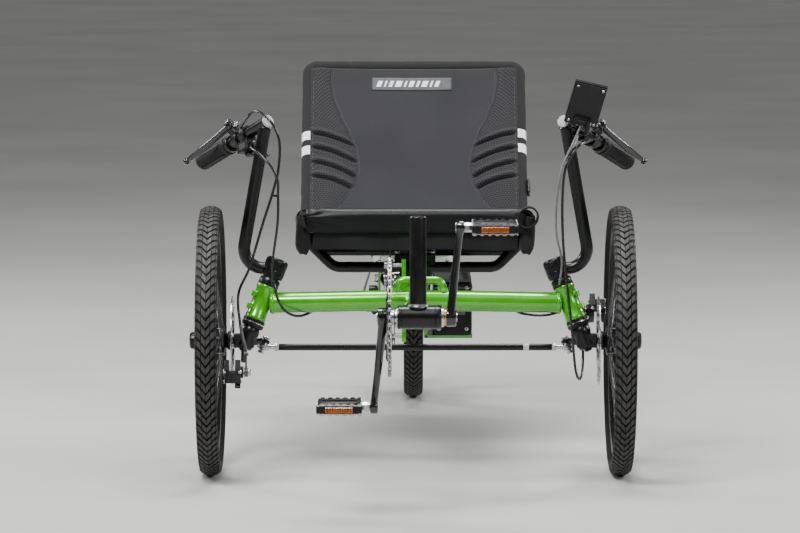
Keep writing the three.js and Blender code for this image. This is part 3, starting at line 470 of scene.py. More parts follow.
DARK_STEEL = surface(
    "dark_steel", dark=(0.03, 0.03, 0.032), light=(0.07, 0.07, 0.073), rough=0.34, metal=0.9, scale=120,
    grain=900, grain_depth=0.05,
)
LIGHT_PLUG = surface(
    "light_plug", dark=(0.34, 0.34, 0.34), light=(0.46, 0.46, 0.46), rough=0.45, metal=0.0, scale=120,
    grain=900, grain_depth=0.05,
)
BRASS = surface(
    "brass_spacer", dark=(0.50, 0.27, 0.06), light=(0.66, 0.40, 0.12), rough=0.30, metal=1.0, scale=120,
    grain=900, grain_depth=0.05,
)
PLASTIC = surface(
    "black_plastic", dark=(0.0035, 0.0035, 0.004), light=(0.008, 0.008, 0.0085), rough=0.42, metal=0.0,
    scale=60, grain=1200, grain_depth=0.14, gleam=0.3,
)
GLOSS = surface(
    "gloss_black", dark=(0.004, 0.004, 0.005), light=(0.008, 0.008, 0.009), rough=0.12, metal=0.0, scale=40,
    grain=900, grain_depth=0.01, coat=0.6, spread=0.03,
)
# Tread lugs: a noisy dark grey, much lighter than the near-black sidewall. The grey is partly dust and partly
# painted light, for the tread lit from above.
TREAD_DUST_AND_LIGHT = surface(
    "tyre_rubber", dark=(0.022, 0.0215, 0.020), light=(0.050, 0.048, 0.045), rough=0.55, metal=0.0, scale=45,
    grain=700, grain_depth=0.35, gleam=0.35,
)
SIDEWALL = surface(
    "tyre_side", dark=(0.0035, 0.0035, 0.0035), light=(0.008, 0.008, 0.008), rough=0.62, metal=0.0, scale=30,
    grain=900, grain_depth=0.25, gleam=0.2,
)
GRIP = surface(
    "grip_rubber", dark=(0.004, 0.004, 0.004), light=(0.009, 0.009, 0.009), rough=0.56, metal=0.0, scale=70,
    grain=600, grain_depth=0.30, gleam=0.28,
)
CABLE_GREY = surface(
    "grey_lead", dark=(0.10, 0.10, 0.105), light=(0.16, 0.16, 0.165), rough=0.42, metal=0.0, scale=60,
    grain=900, grain_depth=0.05,
)
CABLE = surface(
    "cable_sleeve", dark=(0.005, 0.005, 0.005), light=(0.012, 0.012, 0.0125), rough=0.26, metal=0.0, scale=60,
    grain=900, grain_depth=0.05,
)
TAPE = surface(
    "reflective_tape", dark=(0.62, 0.63, 0.64), light=(0.82, 0.82, 0.82), rough=0.42, metal=0.1, scale=90,
    grain=1400, grain_depth=0.20,
)
AMBER = surface(
    "amber_reflector", dark=(0.24, 0.052, 0.002), light=(0.38, 0.095, 0.004), rough=0.18, metal=0.0,
    scale=240, grain=420, grain_depth=0.8, coat=0.8,
)
LABEL = surface(
    "woven_label", dark=(0.055, 0.057, 0.062), light=(0.085, 0.088, 0.095), rough=0.75, metal=0.0, scale=90,
    grain=1600, grain_depth=0.25,
)
WHITE_THREAD = surface(
    "white_thread", dark=(0.68, 0.68, 0.68), light=(0.85, 0.85, 0.85), rough=0.7, metal=0.0, scale=90,
    grain=1600, grain_depth=0.25,
)
GREY_THREAD = surface(
    "grey_thread", dark=(0.05, 0.05, 0.053), light=(0.085, 0.085, 0.09), rough=0.8, metal=0.0, scale=90,
    grain=1600, grain_depth=0.25,
)
DARK_THREAD = surface(
    "dark_thread", dark=(0.010, 0.010, 0.011), light=(0.02, 0.02, 0.021), rough=0.8, metal=0.0, scale=90,
    grain=1600, grain_depth=0.25,
)
PANEL_CLOTH = cloth(
    "panel_cloth", dark=(0.017, 0.017, 0.0195), light=(0.027, 0.027, 0.031), across=0.0011, along=0.0011,
    stagger=0.0, depth=0.25, sheen=0.06,
)
APRON_CLOTH = cloth(
    "apron_cloth", dark=(0.004, 0.004, 0.0048), light=(0.008, 0.008, 0.0095), across=0.0011, along=0.0011,
    stagger=0.0, depth=0.2, sheen=0.05, shine=0.36,
)
MESH_CLOTH = cloth(
    "mesh_cloth", dark=(0.0012, 0.0012, 0.0014), light=(0.034, 0.034, 0.037), across=0.0058, along=0.0046,
    stagger=0.5, depth=0.9, sheen=0.03,
)
SLEEVE_DARK = cloth(
    "dark_webbing", dark=(0.006, 0.006, 0.0065), light=(0.014, 0.014, 0.015), across=0.0016, along=0.0016,
    stagger=0.0, depth=0.3, sheen=0.15,
)
SLEEVE_CLOTH = cloth(
    "sleeve_cloth", dark=(0.009, 0.0088, 0.0088), light=(0.015, 0.0148, 0.0148), across=0.0012, along=0.0012,
    stagger=0.0, depth=0.3, sheen=0.03,
)


# ------------------------------------------------------------ wheels
def crown(x):
    """The tread's radius at a distance from the wheel's middle plane."""
    return WHEEL_RADIUS - 4.0 * (abs(x) / 14) ** 2.2


def tyre_shapes(centre):
    """The casing in material slot 1, and on it the tread's lugs in slot 0."""
    casing = Shape()
    side = [(RIM_OUTER - 2, 9.5), (RIM_OUTER + 1, 12.5), (213, 14.2), (218, 17.4), (224, 19.2), (230, 19.5)]
    side += [(234.2, 18.4), (236.2, 16.2), (237.6, 13), (238.8, 8), (239.6, 0)]
    profile = [(r, -x) for r, x in side] + [(r, x) for r, x in side[-2::-1]]
    profile.append(profile[0])
    casing.slot = 1
    casing.lathe(profile, centre, UP_X, 120)
    for x in (-17.9, 17.9):
        ring = [(219.2, x), (220.2, x * 1.035), (221.2, x * 1.02), (219.2, x)]
        if x < 0:
            ring = ring[::-1]
        casing.lathe(ring, centre, UP_X, 120)
    # The lugs take the lighter tread finish, whose grey is partly painted light.
    casing.slot = 0
    pitch = 2 * math.pi / TREAD_LUGS

    def tread_point(x, turn, sink=0.0):
        r = crown(x) - sink
        return centre + vec(x, r * math.cos(turn), r * math.sin(turn))

    def lug(outline, turn):
        top = [tread_point(x, turn + a * pitch) for x, a in outline]
        low = [tread_point(x, turn + a * pitch, 3.6) for x, a in outline]
        faces = [list(range(len(outline)))]
        n = len(outline)
        for i in range(n):
            j = (i + 1) % n
            faces.append([i, n + i, n + j, j])
        casing.add(top + low, faces)

    for k in range(TREAD_LUGS):
        turn = k * pitch
        for side_sign in (1, -1):
            inner = [(0.4, 0.02), (4.4, 0.34), (7.6, 0.60), (7.6, 1.22), (4.4, 1.02), (0.4, 0.66)]
            outer = [(8.8, 0.70), (12.6, 0.98), (15.2, 1.10), (15.2, 1.66), (12.4, 1.60), (8.8, 1.36)]
            edge = [(16.2, 1.14), (18.2, 1.20), (18.2, 1.74), (16.2, 1.68)]
            for outline in (inner, outer, edge):
                shaped = [(side_sign * x, -a) for x, a in outline]
                if side_sign > 0:
                    shaped = shaped[::-1]
                lug(shaped, turn)
    return casing


def rim_shape(centre):
    shape = Shape()
    half = [
        (RIM_INNER - 1, 3.5), (RIM_INNER, 6), (RIM_OUTER - 14, 11.5), (RIM_OUTER - 3, 12.8),
        (RIM_OUTER, 12.6),
    ]
    half += [(RIM_OUTER, 10.4), (RIM_OUTER - 4, 9.4), (RIM_OUTER - 7, 4)]
    profile = [(r, -x) for r, x in half] + [(r, x) for r, x in half[::-1]]
    profile.append(profile[0])
    return shape.lathe(profile[::-1], centre, UP_X, 120)


def spoke_shape(centre, flanges):
    """Crossed spokes and their nipples. Flanges are (offset along X, hole radius)."""
    wires = Shape()
    nipples = Shape()
    crossing = 3 * 2 * math.pi / SPOKES
    for i in range(SPOKES):
        offset, radius = flanges[i % 2]
        leading = 1 if i % 4 < 2 else -1
        rim_angle = 2 * math.pi * i / SPOKES
        hub_angle = rim_angle + leading * 2 * crossing
        root = centre + vec(
            offset + leading * 2.6, radius * math.cos(hub_angle), radius * math.sin(hub_angle),
        )
        head = root + vec(-leading * 4.2, 0, 0)
        end = centre + vec(
            leading * 0.6, (RIM_INNER + 1) * math.cos(rim_angle), (RIM_INNER + 1) * math.sin(rim_angle),
        )
        wires.pipe([head, root, end], 1.0, 8)
        inward = (root - end).normalized()
        nipples.pipe([end, end + inward * 11, end + inward * 12], [2.0, 1.8, 1.2], 8)
    return wires, nipples


def bolt(shape, middle, axis, head=4.0, height=3.2):
    """A socket-head screw, its head standing on the point."""
    axis = axis.normalized()
    profile = [(0, -2), (head, -2), (head, height - 0.6), (head - 0.6, height)]
    profile += [(head * 0.52, height), (head * 0.5, height - 2), (0, height - 2)]
    return shape.lathe(profile, middle, axis, 20)


def front_wheel_right():
    centre = vec(-HALF_TRACK, FRONT_Y, WHEEL_RADIUS)
    hub = Shape()
    profile = [
        (6.6, 37.0), (16.5, 37.0), (17.4, 36.2), (17.4, 31.5), (14, 29.5), (12, 27), (24, 24.6), (26.6, 24.0),
        (27, 23), (26.6, 19.0), (24, 18.4), (13.5, 16.8), (11.6, 12), (11.6, -12), (13.5, -16.8), (24, -18.4),
        (26.6, -19.0), (27, -23), (26.6, -24.0), (20, -26), (15.5, -28), (15.5, -33), (14.6, -36.4),
        (11.8, -38.5), (7.5, -38.5), (6.6, -37), (0, -36.4),
    ]
    hub.lathe([(r, -h) for r, h in profile], centre, vec(-1, 0, 0), 48)
    wires, nipples = spoke_shape(centre, [(21, 23.5), (-21, 23.5)])
    rotor = Shape()
    at = vec(-ROTOR_X, FRONT_Y, WHEEL_RADIUS)
    for inner, outer in ((66, 69.5), (75.5, 80), (16, 27)):
        loop = [(inner, -0.9), (outer, -0.9), (outer, 0.9), (inner, 0.9), (inner, -0.9)]
        rotor.lathe(loop, at, UP_X, 96)
    bars = 40
    for k in range(bars):
        a = 2 * math.pi * k / bars
        b = a + 0.11
        rotor.pipe(
            [
                at + vec(0, 68 * math.cos(a), 68 * math.sin(a)),
                at + vec(0, 77 * math.cos(b), 77 * math.sin(b)),
            ],
            1.9, 6, flat=0.45,
        )
    screws = Shape()
    for k in range(6):
        a = 2 * math.pi * k / 6
        b = a + 0.75
        line = smooth_line(
            [
                at + vec(0, 25 * math.cos(a), 25 * math.sin(a)),
                at + vec(0, 46 * math.cos(a + 0.25), 46 * math.sin(a + 0.25)),
                at + vec(0, 67 * math.cos(b), 67 * math.sin(b)),
            ],
            5,
        )
        rotor.pipe(line, 3.4, 8, flat=0.26)
        bolt(screws, at + vec(1.0, 22 * math.cos(a), 22 * math.sin(a)), UP_X, 3.6, 2.4)
    return centre, hub, wires, nipples, rotor, screws


def make_wheels():
    centre, hub, wires, nipples, rotor, screws = front_wheel_right()
    tyre = tyre_shapes(centre)
    rim = rim_shape(centre)
    for side, flip in (("right", False), ("left", True)):
        body = "wheel_" + side
        shapes = [s.mirrored() if flip else s for s in (tyre, rim, hub, wires, nipples, rotor, screws)]
        build("tyre_tread_" + side, shapes[0], [TREAD_DUST_AND_LIGHT, SIDEWALL], body, ["tyre_" + side])
        build("rim_hoop_" + side, shapes[1], ALLOY, body, ["rim_" + side])
        build("hub_shell_" + side, shapes[2], ALLOY, body, ["hub_" + side])
        build("spokes_" + side, shapes[3], GREY_ALLOY, body)
        build("nipples_" + side, shapes[4], STEEL, body)
        build("rotor_disc_" + side, shapes[5], STEEL, body, ["rotor_" + side])
        build("rotor_screws_" + side, shapes[6], ALLOY, body)
    rear = vec(0, REAR_Y, WHEEL_RADIUS)
    hub = Shape()
    profile = [
        (0, -78), (4.4, -78), (4.9, -77), (4.9, -66.4), (9, -66.2), (10, -64), (15.4, -62), (15.8, -60),
        (15.8, -27.5), (12, -26), (25, -25.4), (27.5, -24.6), (27.5, -21), (25, -20.4), (14, -18), (13, -12),
        (13, 22), (14, 28), (25, 30.2), (27.5, 30.8), (27.5, 34.4), (25, 35.2), (12, 37), (10, 45), (10, 64),
        (9, 66), (4.9, 66.2), (4.9, 77), (4.4, 78), (0, 78),
    ]
    hub.lathe(profile, rear, UP_X, 48)
    wires, nipples = spoke_shape(rear, [(-22.8, 24), (32.6, 24)])
    build("tyre_tread_rear", tyre_shapes(rear), [TREAD_DUST_AND_LIGHT, SIDEWALL], "wheel_rear", ["tyre_rear"])
    build("rim_hoop_rear", rim_shape(rear), ALLOY, "wheel_rear", ["rim_rear"])
    build("hub_shell_rear", hub, ALLOY, "wheel_rear", ["hub_rear"])
    build("spokes_rear", wires, GREY_ALLOY, "wheel_rear")
    build("nipples_rear", nipples, STEEL, "wheel_rear")


make_wheels()

# ------------------------------------------------------------ frame
SHELL = vec(0, CRANK_Y, CRANK_Z)
CROSS = vec(0, FRONT_Y, ARM_Z)
MAIN_END = vec(0, 405, 314)
BOOM_DIRECTION = (SHELL - CROSS).normalized()


def on_boom(distance):
    return CROSS + BOOM_DIRECTION * distance


def make_frame():
    middle_of_head = on_kingpin(sum(HEAD_TUBE) / 2)
    right = Shape()
    arm_axis = (middle_of_head - CROSS).normalized()
    near_head = middle_of_head - arm_axis * 16
    right.pipe([CROSS + arm_axis * -2, CROSS + arm_axis * 60, near_head], ARM_RADIUS, 48)
    bead = middle_of_head - arm_axis * 22
    right.lathe(
        [(18.4, -2.5), (20.0, -1.2), (20.9, 1.0), (20.6, 3.4), (18.4, 6), (18.4, -2.5)], bead, arm_axis, 48
    )
    low, high = HEAD_TUBE
    right.lathe(
        [
            (16.5, low), (18.9, low), (19.3, low + 1), (19.3, low + 6), (18, low + 8), (18, high - 8),
            (19.3, high - 6), (19.3, high - 1), (18.9, high), (16.5, high), (16.5, low),
        ],
        AXIS_FOOT, AXIS_UP, 56,
    )
    stays = [
        vec(4, 385, 317), vec(-30, 425, 321), vec(-64, 470, 320), vec(-73, 560, 304), vec(-72.5, 706, 268),
    ]
    right.pipe(bent(stays, 36, 6), 9, 28)
    outline = [
        (668, 290), (676, 297), (690, 303), (701, 302), (722, 288), (742, 270), (749, 256), (750, 243),
        (747, 226), (744, 210), (739, 205), (732, 205), (727, 210), (718, 226), (700, 248), (678, 262),
        (668, 272),
    ]
    right.plate(outline, 5, vec(-DROPOUT_X, 0, 0), vec(0, 1, 0), vec(0, 0, 1))
    stops = Shape()
    for along in (62, 86):
        out = vec(-0.75, -0.65, 0).normalized()
        foot = on_kingpin(along) + (out - AXIS_UP * out.dot(AXIS_UP)).normalized() * 18
        stops.block((5, 8, 9), foot + out * 2.5, out, AXIS_UP)
        stops.lathe([(2.8, -5), (4.2, -5), (4.2, 5), (2.8, 5), (2.8, -5)], foot + out * 7, AXIS_UP, 16)
    middle = Shape()
    middle.pipe([on_boom(310), on_boom(4), MAIN_END - vec(0, 772, -2.4), MAIN_END], MAIN_RADIUS, 48)
    middle.lathe(
        [(17.2, 272), (21.6, 272), (22.6, 273), (22.6, 308), (21.6, 310), (17.2, 310), (17.2, 272)],
        CROSS, BOOM_DIRECTION, 48,
    )
    arch = bent(
        [vec(-36, FRONT_Y, 318), vec(-31, FRONT_Y, 352), vec(47, FRONT_Y, 352), vec(52, FRONT_Y, 318)], 13, 8,
    )
    middle.pipe(arch, 7.5, 28)
    for x in (-36, 52):
        middle.lathe(
            [(6, -4), (10, -3), (8.4, 1), (7.2, 4), (6, -4)], vec(x * 0.97, FRONT_Y, 335), vec(0, 0, 1), 24,
        )
    middle.block((8, 30, 152), vec(-21, -200, 298))
    middle.block((7, 300, 112), vec(21, 160, 259))
    middle.block((90, 300, 6), vec(64, 160, 206))
    pins = Shape()
    for z in (363, 232):
        pins.rod(4, vec(-24, -200, z), vec(-56, -200, z), 20)
        bolt(pins, vec(-53, -200, z), vec(-1, 0, 0), 7, 4)
    whole = Shape()
    for part in (right, right.mirrored(), middle, stops, stops.mirrored()):
        whole.merged(part)
    build("frame_tubes", whole, GREEN, "frame", ["frame_main"], bevel=0.8)
    build("idler_pins", pins, STEEL, "frame")
    bolts = Shape()
    for along in (282, 300):
        place = on_boom(along) + vec(0, 0, -25)
        bolts.rod(3.0, place + vec(-11, 0, 0), place + vec(11, 0, 0), 16)
        bolt(bolts, place + vec(9, 0, 0), UP_X, 4.2, 4)
    for side in (-1, 1):
        bolt(bolts, vec(side * 83, REAR_Y - 37, 293), vec(side, 0, 0), 5, 3.4)
        bolts.lathe(
            [(0, 72), (8.5, 72), (8.5, 77), (6.5, 79.5), (0, 79.5)],
            vec(0, REAR_Y, WHEEL_RADIUS), vec(side, 0, 0), 6,
        )
    build("frame_bolts", bolts, STEEL, "frame")
    ears = Shape()
    for x in (-8, 8):
        ears.block((5, 38, 16), on_boom(291) + vec(x, 0, -25), UP_X, BOOM_DIRECTION)
    build("boom_clamp_ears", ears, GREEN, "frame", bevel=1.5)


make_frame()


def make_boom():
    boom = Shape()
    shell = [
        (11.5, -33), (18.6, -33), (19.6, -32.4), (20, -31), (20, -27), (19.4, -26.4), (19.4, -25.6),
        (20, -25), (20, 30), (19.4, 30.6), (19.4, 31.4), (20.4, 32), (20.4, 40), (19.4, 41.4), (18, 41.7),
        (11.5, 41.7), (11.5, -33),
    ]
    boom.lathe(shell, SHELL, UP_X, 64)
    boom.pipe([SHELL - BOOM_DIRECTION * 17, on_boom(215)], 16.5, 48)
    post = [(0, 14), (14.3, 14), (14.3, 168), (13.9, 170), (13.0, 171), (0, 171)]
    boom.lathe(post, vec(2, CRANK_Y, CRANK_Z), vec(0, 0, 1), 48)
    build("boom_tubes", boom, SATIN, "frame", ["boom"])
    weld = Shape()
    weld.lathe(
        [(13.6, 17.2), (18.6, 17.4), (18.4, 19.4), (16.6, 21.6), (15.0, 23.4), (13.6, 24), (13.6, 17.2)],
        vec(2, CRANK_Y, CRANK_Z), vec(0, 0, 1), 48,
    )
    build("post_weld", weld, GREY_ALLOY, "frame")
    cups = Shape()
    cups.lathe(
        [(9.8, -37.4), (16.4, -37.4), (17, -36.6), (17, -33), (9.8, -33), (9.8, -37.4)], SHELL, UP_X, 48,
    )
    cups.lathe([(9.8, 41.8), (16.6, 41.8), (16.6, 45), (15.8, 46), (9.8, 46), (9.8, 41.8)], SHELL, UP_X, 48)
    build("bearing_cups", cups, STEEL, "frame")


make_boom()


def make_headsets():
    low, high = HEAD_TUBE
    cups = Shape()
    cups.lathe(
        [
            (14.9, low - 15), (17.4, low - 15), (19.4, low - 13.6), (20.4, low - 11), (20.4, low - 7.6),
            (19.7, low - 7), (19.7, low - 5), (20.4, low - 4.4), (20.4, low - 0.8), (19.4, low), (14.9, low),
            (14.9, low - 15),
        ],
        AXIS_FOOT, AXIS_UP, 56,
    )
    cups.lathe(
        [
            (14.9, high), (18.6, high), (19.2, high + 0.8), (19.2, high + 4.6), (18.4, high + 5.4),
            (18.4, high + 7), (19, high + 7.6), (18.8, high + 12), (17.4, high + 15), (14.9, high + 15),
            (14.9, high),
        ],
        AXIS_FOOT, AXIS_UP, 56,
    )
    build("headset_cups_right", cups, ALLOY, "frame", ["headset_right"])
    build("headset_cups_left", cups.mirrored(), ALLOY, "frame", ["headset_left"])


make_headsets()

# ------------------------------------------------------------ tie rod
TIE_PIVOT = vec(-278, FRONT_Y + 60, 224)


def make_tie_rod():
    half = 248
    rod = Shape()
    for side in (1, -1):
        rod.lathe(
            [
                (5, half - 28), (6.1, half - 28), (6.1, half - 1), (5.6, half), (5, half), (5, half - 28),
            ],
            vec(0, TIE_PIVOT.y, TIE_PIVOT.z), vec(side, 0, 0), 32,
        )
    rod.rod(6.1, vec(-half + 27, TIE_PIVOT.y, TIE_PIVOT.z), vec(half - 27, TIE_PIVOT.y, TIE_PIVOT.z), 32)
    build("tie_rod_tube", rod, SATIN, "tie_rod", ["tie_rod"])
    band = Shape()
    band.rod(6.5, vec(196, TIE_PIVOT.y, TIE_PIVOT.z), vec(206, TIE_PIVOT.y, TIE_PIVOT.z), 32, 0.3)
    build("tie_rod_label", band, TAPE, "tie_rod")
    end = Shape()
    end.lathe(
        [(5.4, -4.6), (9.8, -3.4), (10.2, 0), (9.8, 3.4), (5.4, 4.6), (5.4, -4.6)], TIE_PIVOT, AXIS_UP, 32,
    )
    end.ball(6.2, TIE_PIVOT, 20)
    x = TIE_PIVOT.x
    y = TIE_PIVOT.y
    z = TIE_PIVOT.z
    end.pipe(
        [vec(x + 7, y, z), vec(x + 13, y, z), vec(x + 17, y, z), vec(-half - 0.6, y, z)], [6.4, 5, 4.2, 4.2],
        20,
    )
    end.rod(2.6, vec(-half - 1, y, z), vec(-half + 8, y, z), 16)
    end.lathe(
        [(3, -7.6), (6.2, -7.6), (7.2, -6.6), (7.2, -1.6), (6.4, -0.6), (3, -0.6), (3, -7.6)],
        vec(-half, y, z), UP_X, 6,
    )
    end.lathe(
        [(0, -12), (5.2, -12), (6, -11), (6, -7), (3.2, -6.6), (3.0, 21.5), (0, 21.5)], TIE_PIVOT, AXIS_UP,
        16,
    )
    end.lathe(
        [(3, 15.7), (6.4, 15.7), (6.8, 16.4), (6.8, 19.6), (6, 20.4), (3, 20.4), (3, 15.7)], TIE_PIVOT,
        AXIS_UP, 6,
    )
    build("rod_joint_right", end, STEEL, "rod_end_right", ["rod_end_right"])
    build("rod_joint_left", end.mirrored(), STEEL, "rod_end_left", ["rod_end_left"])


make_tie_rod()

# ------------------------------------------------------------ seat
def cloth_sheet(name, grid, materials, slot_of, thickness, body, replaces=(), closed=False):
    """A sheet through a grid of points. Its UV map holds metres along the cloth."""
    rows = len(grid)
    columns = len(grid[0])
    along = [[0.0] * columns for _ in range(rows)]
    across = [[0.0] * columns for _ in range(rows)]
    middle = columns // 2
    for r in range(rows):
        for c in range(columns):
            if c:
                across[r][c] = across[r][c - 1] + (grid[r][c] - grid[r][c - 1]).length * MM
            if r:
                along[r][c] = along[r - 1][c] + (grid[r][c] - grid[r - 1][c]).length * MM
        offset = across[r][middle]
        across[r] = [value - offset for value in across[r]]
    faces = []
    slots = []
    for r in range(rows - 1):
        for c in range(columns - 1):
            a = r * columns + c
            faces.append([a, a + 1, a + columns + 1, a + columns])
            slots.append(slot_of(r, c))
    mesh = bpy.data.meshes.new(name)
    mesh.from_pydata([p * MM for row in grid for p in row], [], faces)
    for material in materials:
        mesh.materials.append(material)
    mesh.polygons.foreach_set("material_index", slots)
    mesh.polygons.foreach_set("use_smooth", [True] * len(faces))
    layer = mesh.uv_layers.new(name="cloth")
    for loop in mesh.loops:
        r, c = divmod(loop.vertex_index, columns)
        layer.data[loop.index].uv = (across[r][c], along[r][c])
    mesh.update()
    obj = bpy.data.objects.new(name, mesh)
    bpy.context.scene.collection.objects.link(obj)
    if closed:
        weld = obj.modifiers.new("weld", "WELD")
        weld.merge_threshold = 0.0001
    body_of_cloth = obj.modifiers.new("thickness", "SOLIDIFY")
    body_of_cloth.thickness = thickness * MM
    body_of_cloth.offset = 0
    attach(obj, body)
    if replaces:
        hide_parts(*replaces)
    return obj


def mix(a, b, share):
    return a + (b - a) * share


def table_value(table, x):
    """Reads a smooth value from (x, value) pairs."""
    for (x0, v0), (x1, v1) in zip(table, table[1:]):
        if x <= x1:
            t = min(max((x - x0) / (x1 - x0), 0), 1)
            t = t * t * (3 - 2 * t) * 0.4 + t * 0.6
            return mix(v0, v1, t)
    return table[-1][1]


BACK_LENGTH = math.hypot(TOP_RAIL[0] - CROTCH[0], TOP_RAIL[1] - CROTCH[1])
BASE_LENGTH = math.hypot(CROTCH[0] - FRONT_RAIL[0], CROTCH[1] - FRONT_RAIL[1])
BACK_ALONG = vec(0, TOP_RAIL[0] - CROTCH[0], TOP_RAIL[1] - CROTCH[1]) / BACK_LENGTH
BASE_ALONG = vec(0, CROTCH[0] - FRONT_RAIL[0], CROTCH[1] - FRONT_RAIL[1]) / BASE_LENGTH
BACK_OUT = vec(0, -BACK_ALONG.z, BACK_ALONG.y)
BASE_OUT = vec(0, -BASE_ALONG.z, BASE_ALONG.y)
RAIL_BEND = 15
BACK_START = 0.07
# Half width of the smooth middle panel, as a share of the seat's half width, up the back.
PANEL_EDGE = [
    (0.0, 0.80), (0.16, 0.70), (0.24, 0.60), (0.32, 0.53), (0.40, 0.505), (0.50, 0.525), (0.60, 0.585),
    (0.70, 0.67), (0.80, 0.735), (0.90, 0.76), (1.0, 0.75),
]
# Pleats of the side panels: height at the outer edge and at the middle panel, up the back.
PLEATS = [(0.594, 0.530), (0.512, 0.430), (0.427, 0.343), (0.346, 0.278)]


def back_point(x, v, lift):
    return vec(x, CROTCH[0], CROTCH[1]) + BACK_ALONG * (v * BACK_LENGTH) + BACK_OUT * lift


def base_point(x, v, lift):
    return vec(x, FRONT_RAIL[0], FRONT_RAIL[1]) + BASE_ALONG * (v * BASE_LENGTH) + BASE_OUT * lift


def back_edge(v):
    """How far out the back's cloth reaches, inside the rails' top bends."""
    short = RAIL_BEND - (1 - v) * BACK_LENGTH
    if short <= 0:
        return SEAT_HALF - 2
    return SEAT_HALF - RAIL_BEND + math.sqrt(max(RAIL_BEND**2 - short**2, 0)) - 2


def panel_edge(v):
    return min(table_value(PANEL_EDGE, v) * (SEAT_HALF + 10), back_edge(v) - 12)


def back_lift(x, v):
    """The cloth's height above the rails' middle line, with its sag and its pleats."""
    reach = min(abs(x) / SEAT_HALF, 1)
    lift = SLEEVE_RADIUS + 0.5 - 11 * (1 - reach**2) * math.sin(math.pi * min(max(v, 0.05), 0.95)) ** 0.6
    inner = panel_edge(v)
    outer = back_edge(v)
    if abs(x) < inner:
        near = math.exp(-(((inner - abs(x)) / 9) ** 2))
        return lift + 0.8 * near
    share = (abs(x) - inner) / max(outer - inner, 1)
    fade = min(share / 0.10, 1) * min((1 - share) / 0.16, 1)
    puff = 2.6 * math.sin(math.pi * min(max(share, 0), 1))
    for outside, inside in PLEATS:
        line = mix(inside, outside, 1 - (1 - share) ** 1.7)
        t = (v - line) * BACK_LENGTH
        puff += fade * (4.2 * math.exp(-(((t - 7.5) / 5.5) ** 2)) - 7.5 * math.exp(-((t / 2.6) ** 2)))
    return lift + puff


def back_columns(v):
    """Places across the back at one height: side panel, middle panel, side panel."""
    inner = panel_edge(v)
    outer = back_edge(v)
    side = [mix(outer, inner, k / 26) for k in range(26)]
    middle = [mix(-inner, inner, k / 36) for k in range(37)]
    return [-x for x in side] + middle + side[::-1]


def sleeve_grid(line, radius, seed=3):
    """A cloth tube round a rail, with the slight unevenness of a sewn sleeve."""
    rng = random.Random(seed)
    phases = [rng.uniform(0, 6.28) for _ in range(6)]
    along = tangents(line)
    across = UP_X if abs(along[0].x) < 0.9 else vec(0, 0, 1)
    across = (across - along[0] * across.dot(along[0])).normalized()
    rings = []
    for i, point in enumerate(line):
        if i > 0:
            across = along[i - 1].rotation_difference(along[i]) @ across
        up = along[i].cross(across)
        ring = []
        for s in range(SLEEVE_SIDES + 1):
            angle = 2 * math.pi * s / SLEEVE_SIDES
            ripple = math.sin(i * 0.9 + 2 * angle + phases[0]) + math.sin(i * 0.37 - angle + phases[1])
            r = radius + SLEEVE_UNEVENNESS * 0.5 * ripple
            ring.append(point + across * (r * math.cos(angle)) + up * (r * math.sin(angle)))
        rings.append(ring)
    return rings


def resample(points, step):
    """The same line with points about one step apart."""
    result = [points[0]]
    for a, b in zip(points, points[1:]):
        count = max(1, round((b - a).length / step))
        result.extend(a.lerp(b, k / count) for k in range(1, count + 1))
    return result


def stitches(shape, line):
    """A row of short stitches along a line."""
    start = None
    for a, b in zip(line, line[1:]):
        span = (b - a).length
        place = 0.0
        while place < span:
            if start is None:
                start = a.lerp(b, place / span)
                place += STITCH_LENGTH
            else:
                end = a.lerp(b, min(place / span, 1))
                if (end - start).length > STITCH_LENGTH * 0.5:
                    shape.pipe([start, end], STITCH_RADIUS, 5)
                start = None
                place += STITCH_GAP
    return shape


def plain(r, c):
    return 0


def make_seat_frame():
    line = [
        vec(0, *FRONT_RAIL), vec(-SEAT_HALF, *FRONT_RAIL), vec(-SEAT_HALF, *CROTCH),
        vec(-SEAT_HALF, *TOP_RAIL), vec(0, *TOP_RAIL),
    ]
    half = Shape()
    half.pipe(bent(line, RAIL_BEND, 8), 11, 28)
    hoop = [vec(-SEAT_HALF, -140, 437), vec(-190, -140, 392), vec(-150, -140, 353), vec(0, -140, 353)]
    half.pipe(bent(hoop, 30, 8), 10, 32)
    y, z = CROTCH
    half.pipe(bent([vec(-SEAT_HALF, y, z), vec(-176, y, 352), vec(0, y, 352)], 20, 6), 8, 24)
    half.pipe([vec(-SEAT_HALF, 362, 620), vec(-84, 672, 316), vec(-81.5, 690, 295)], [7, 7, 6.4], 24)
    half.block((5, 20, 14), vec(-78, 694, 291), UP_X, vec(0, 0.6, -0.8))
    half.block((12, 24, 20), vec(-200, 358, 622), UP_X, BACK_ALONG)
    clamp = Shape()
    clamp.block((76, 98, 20), vec(0, -100, 368))
    clamp.block((58, 98, 30), vec(0, -100, 351))
    whole = Shape()
    whole.merged(half).merged(half.mirrored())
    build("seat_tubes", whole, SATIN, "frame", ["seat_frame"])
    build("seat_clamp", clamp, ALLOY, "frame", bevel=2.0)
    bolts = Shape()
    for x in (-31, 31):
        for y in (-134, -66):
            bolt(bolts, vec(x, y, 378), vec(0, 0, 1), 5, 4)
    for side in (-1, 1):
        bolt(bolts, vec(side * 81, 694, 291), vec(side, 0, 0), 4.6, 3)
        bolt(bolts, vec(side * 206.5, 358, 622), vec(side, 0, 0), 4.6, 3)
    build("seat_bolts", bolts, STEEL, "frame")


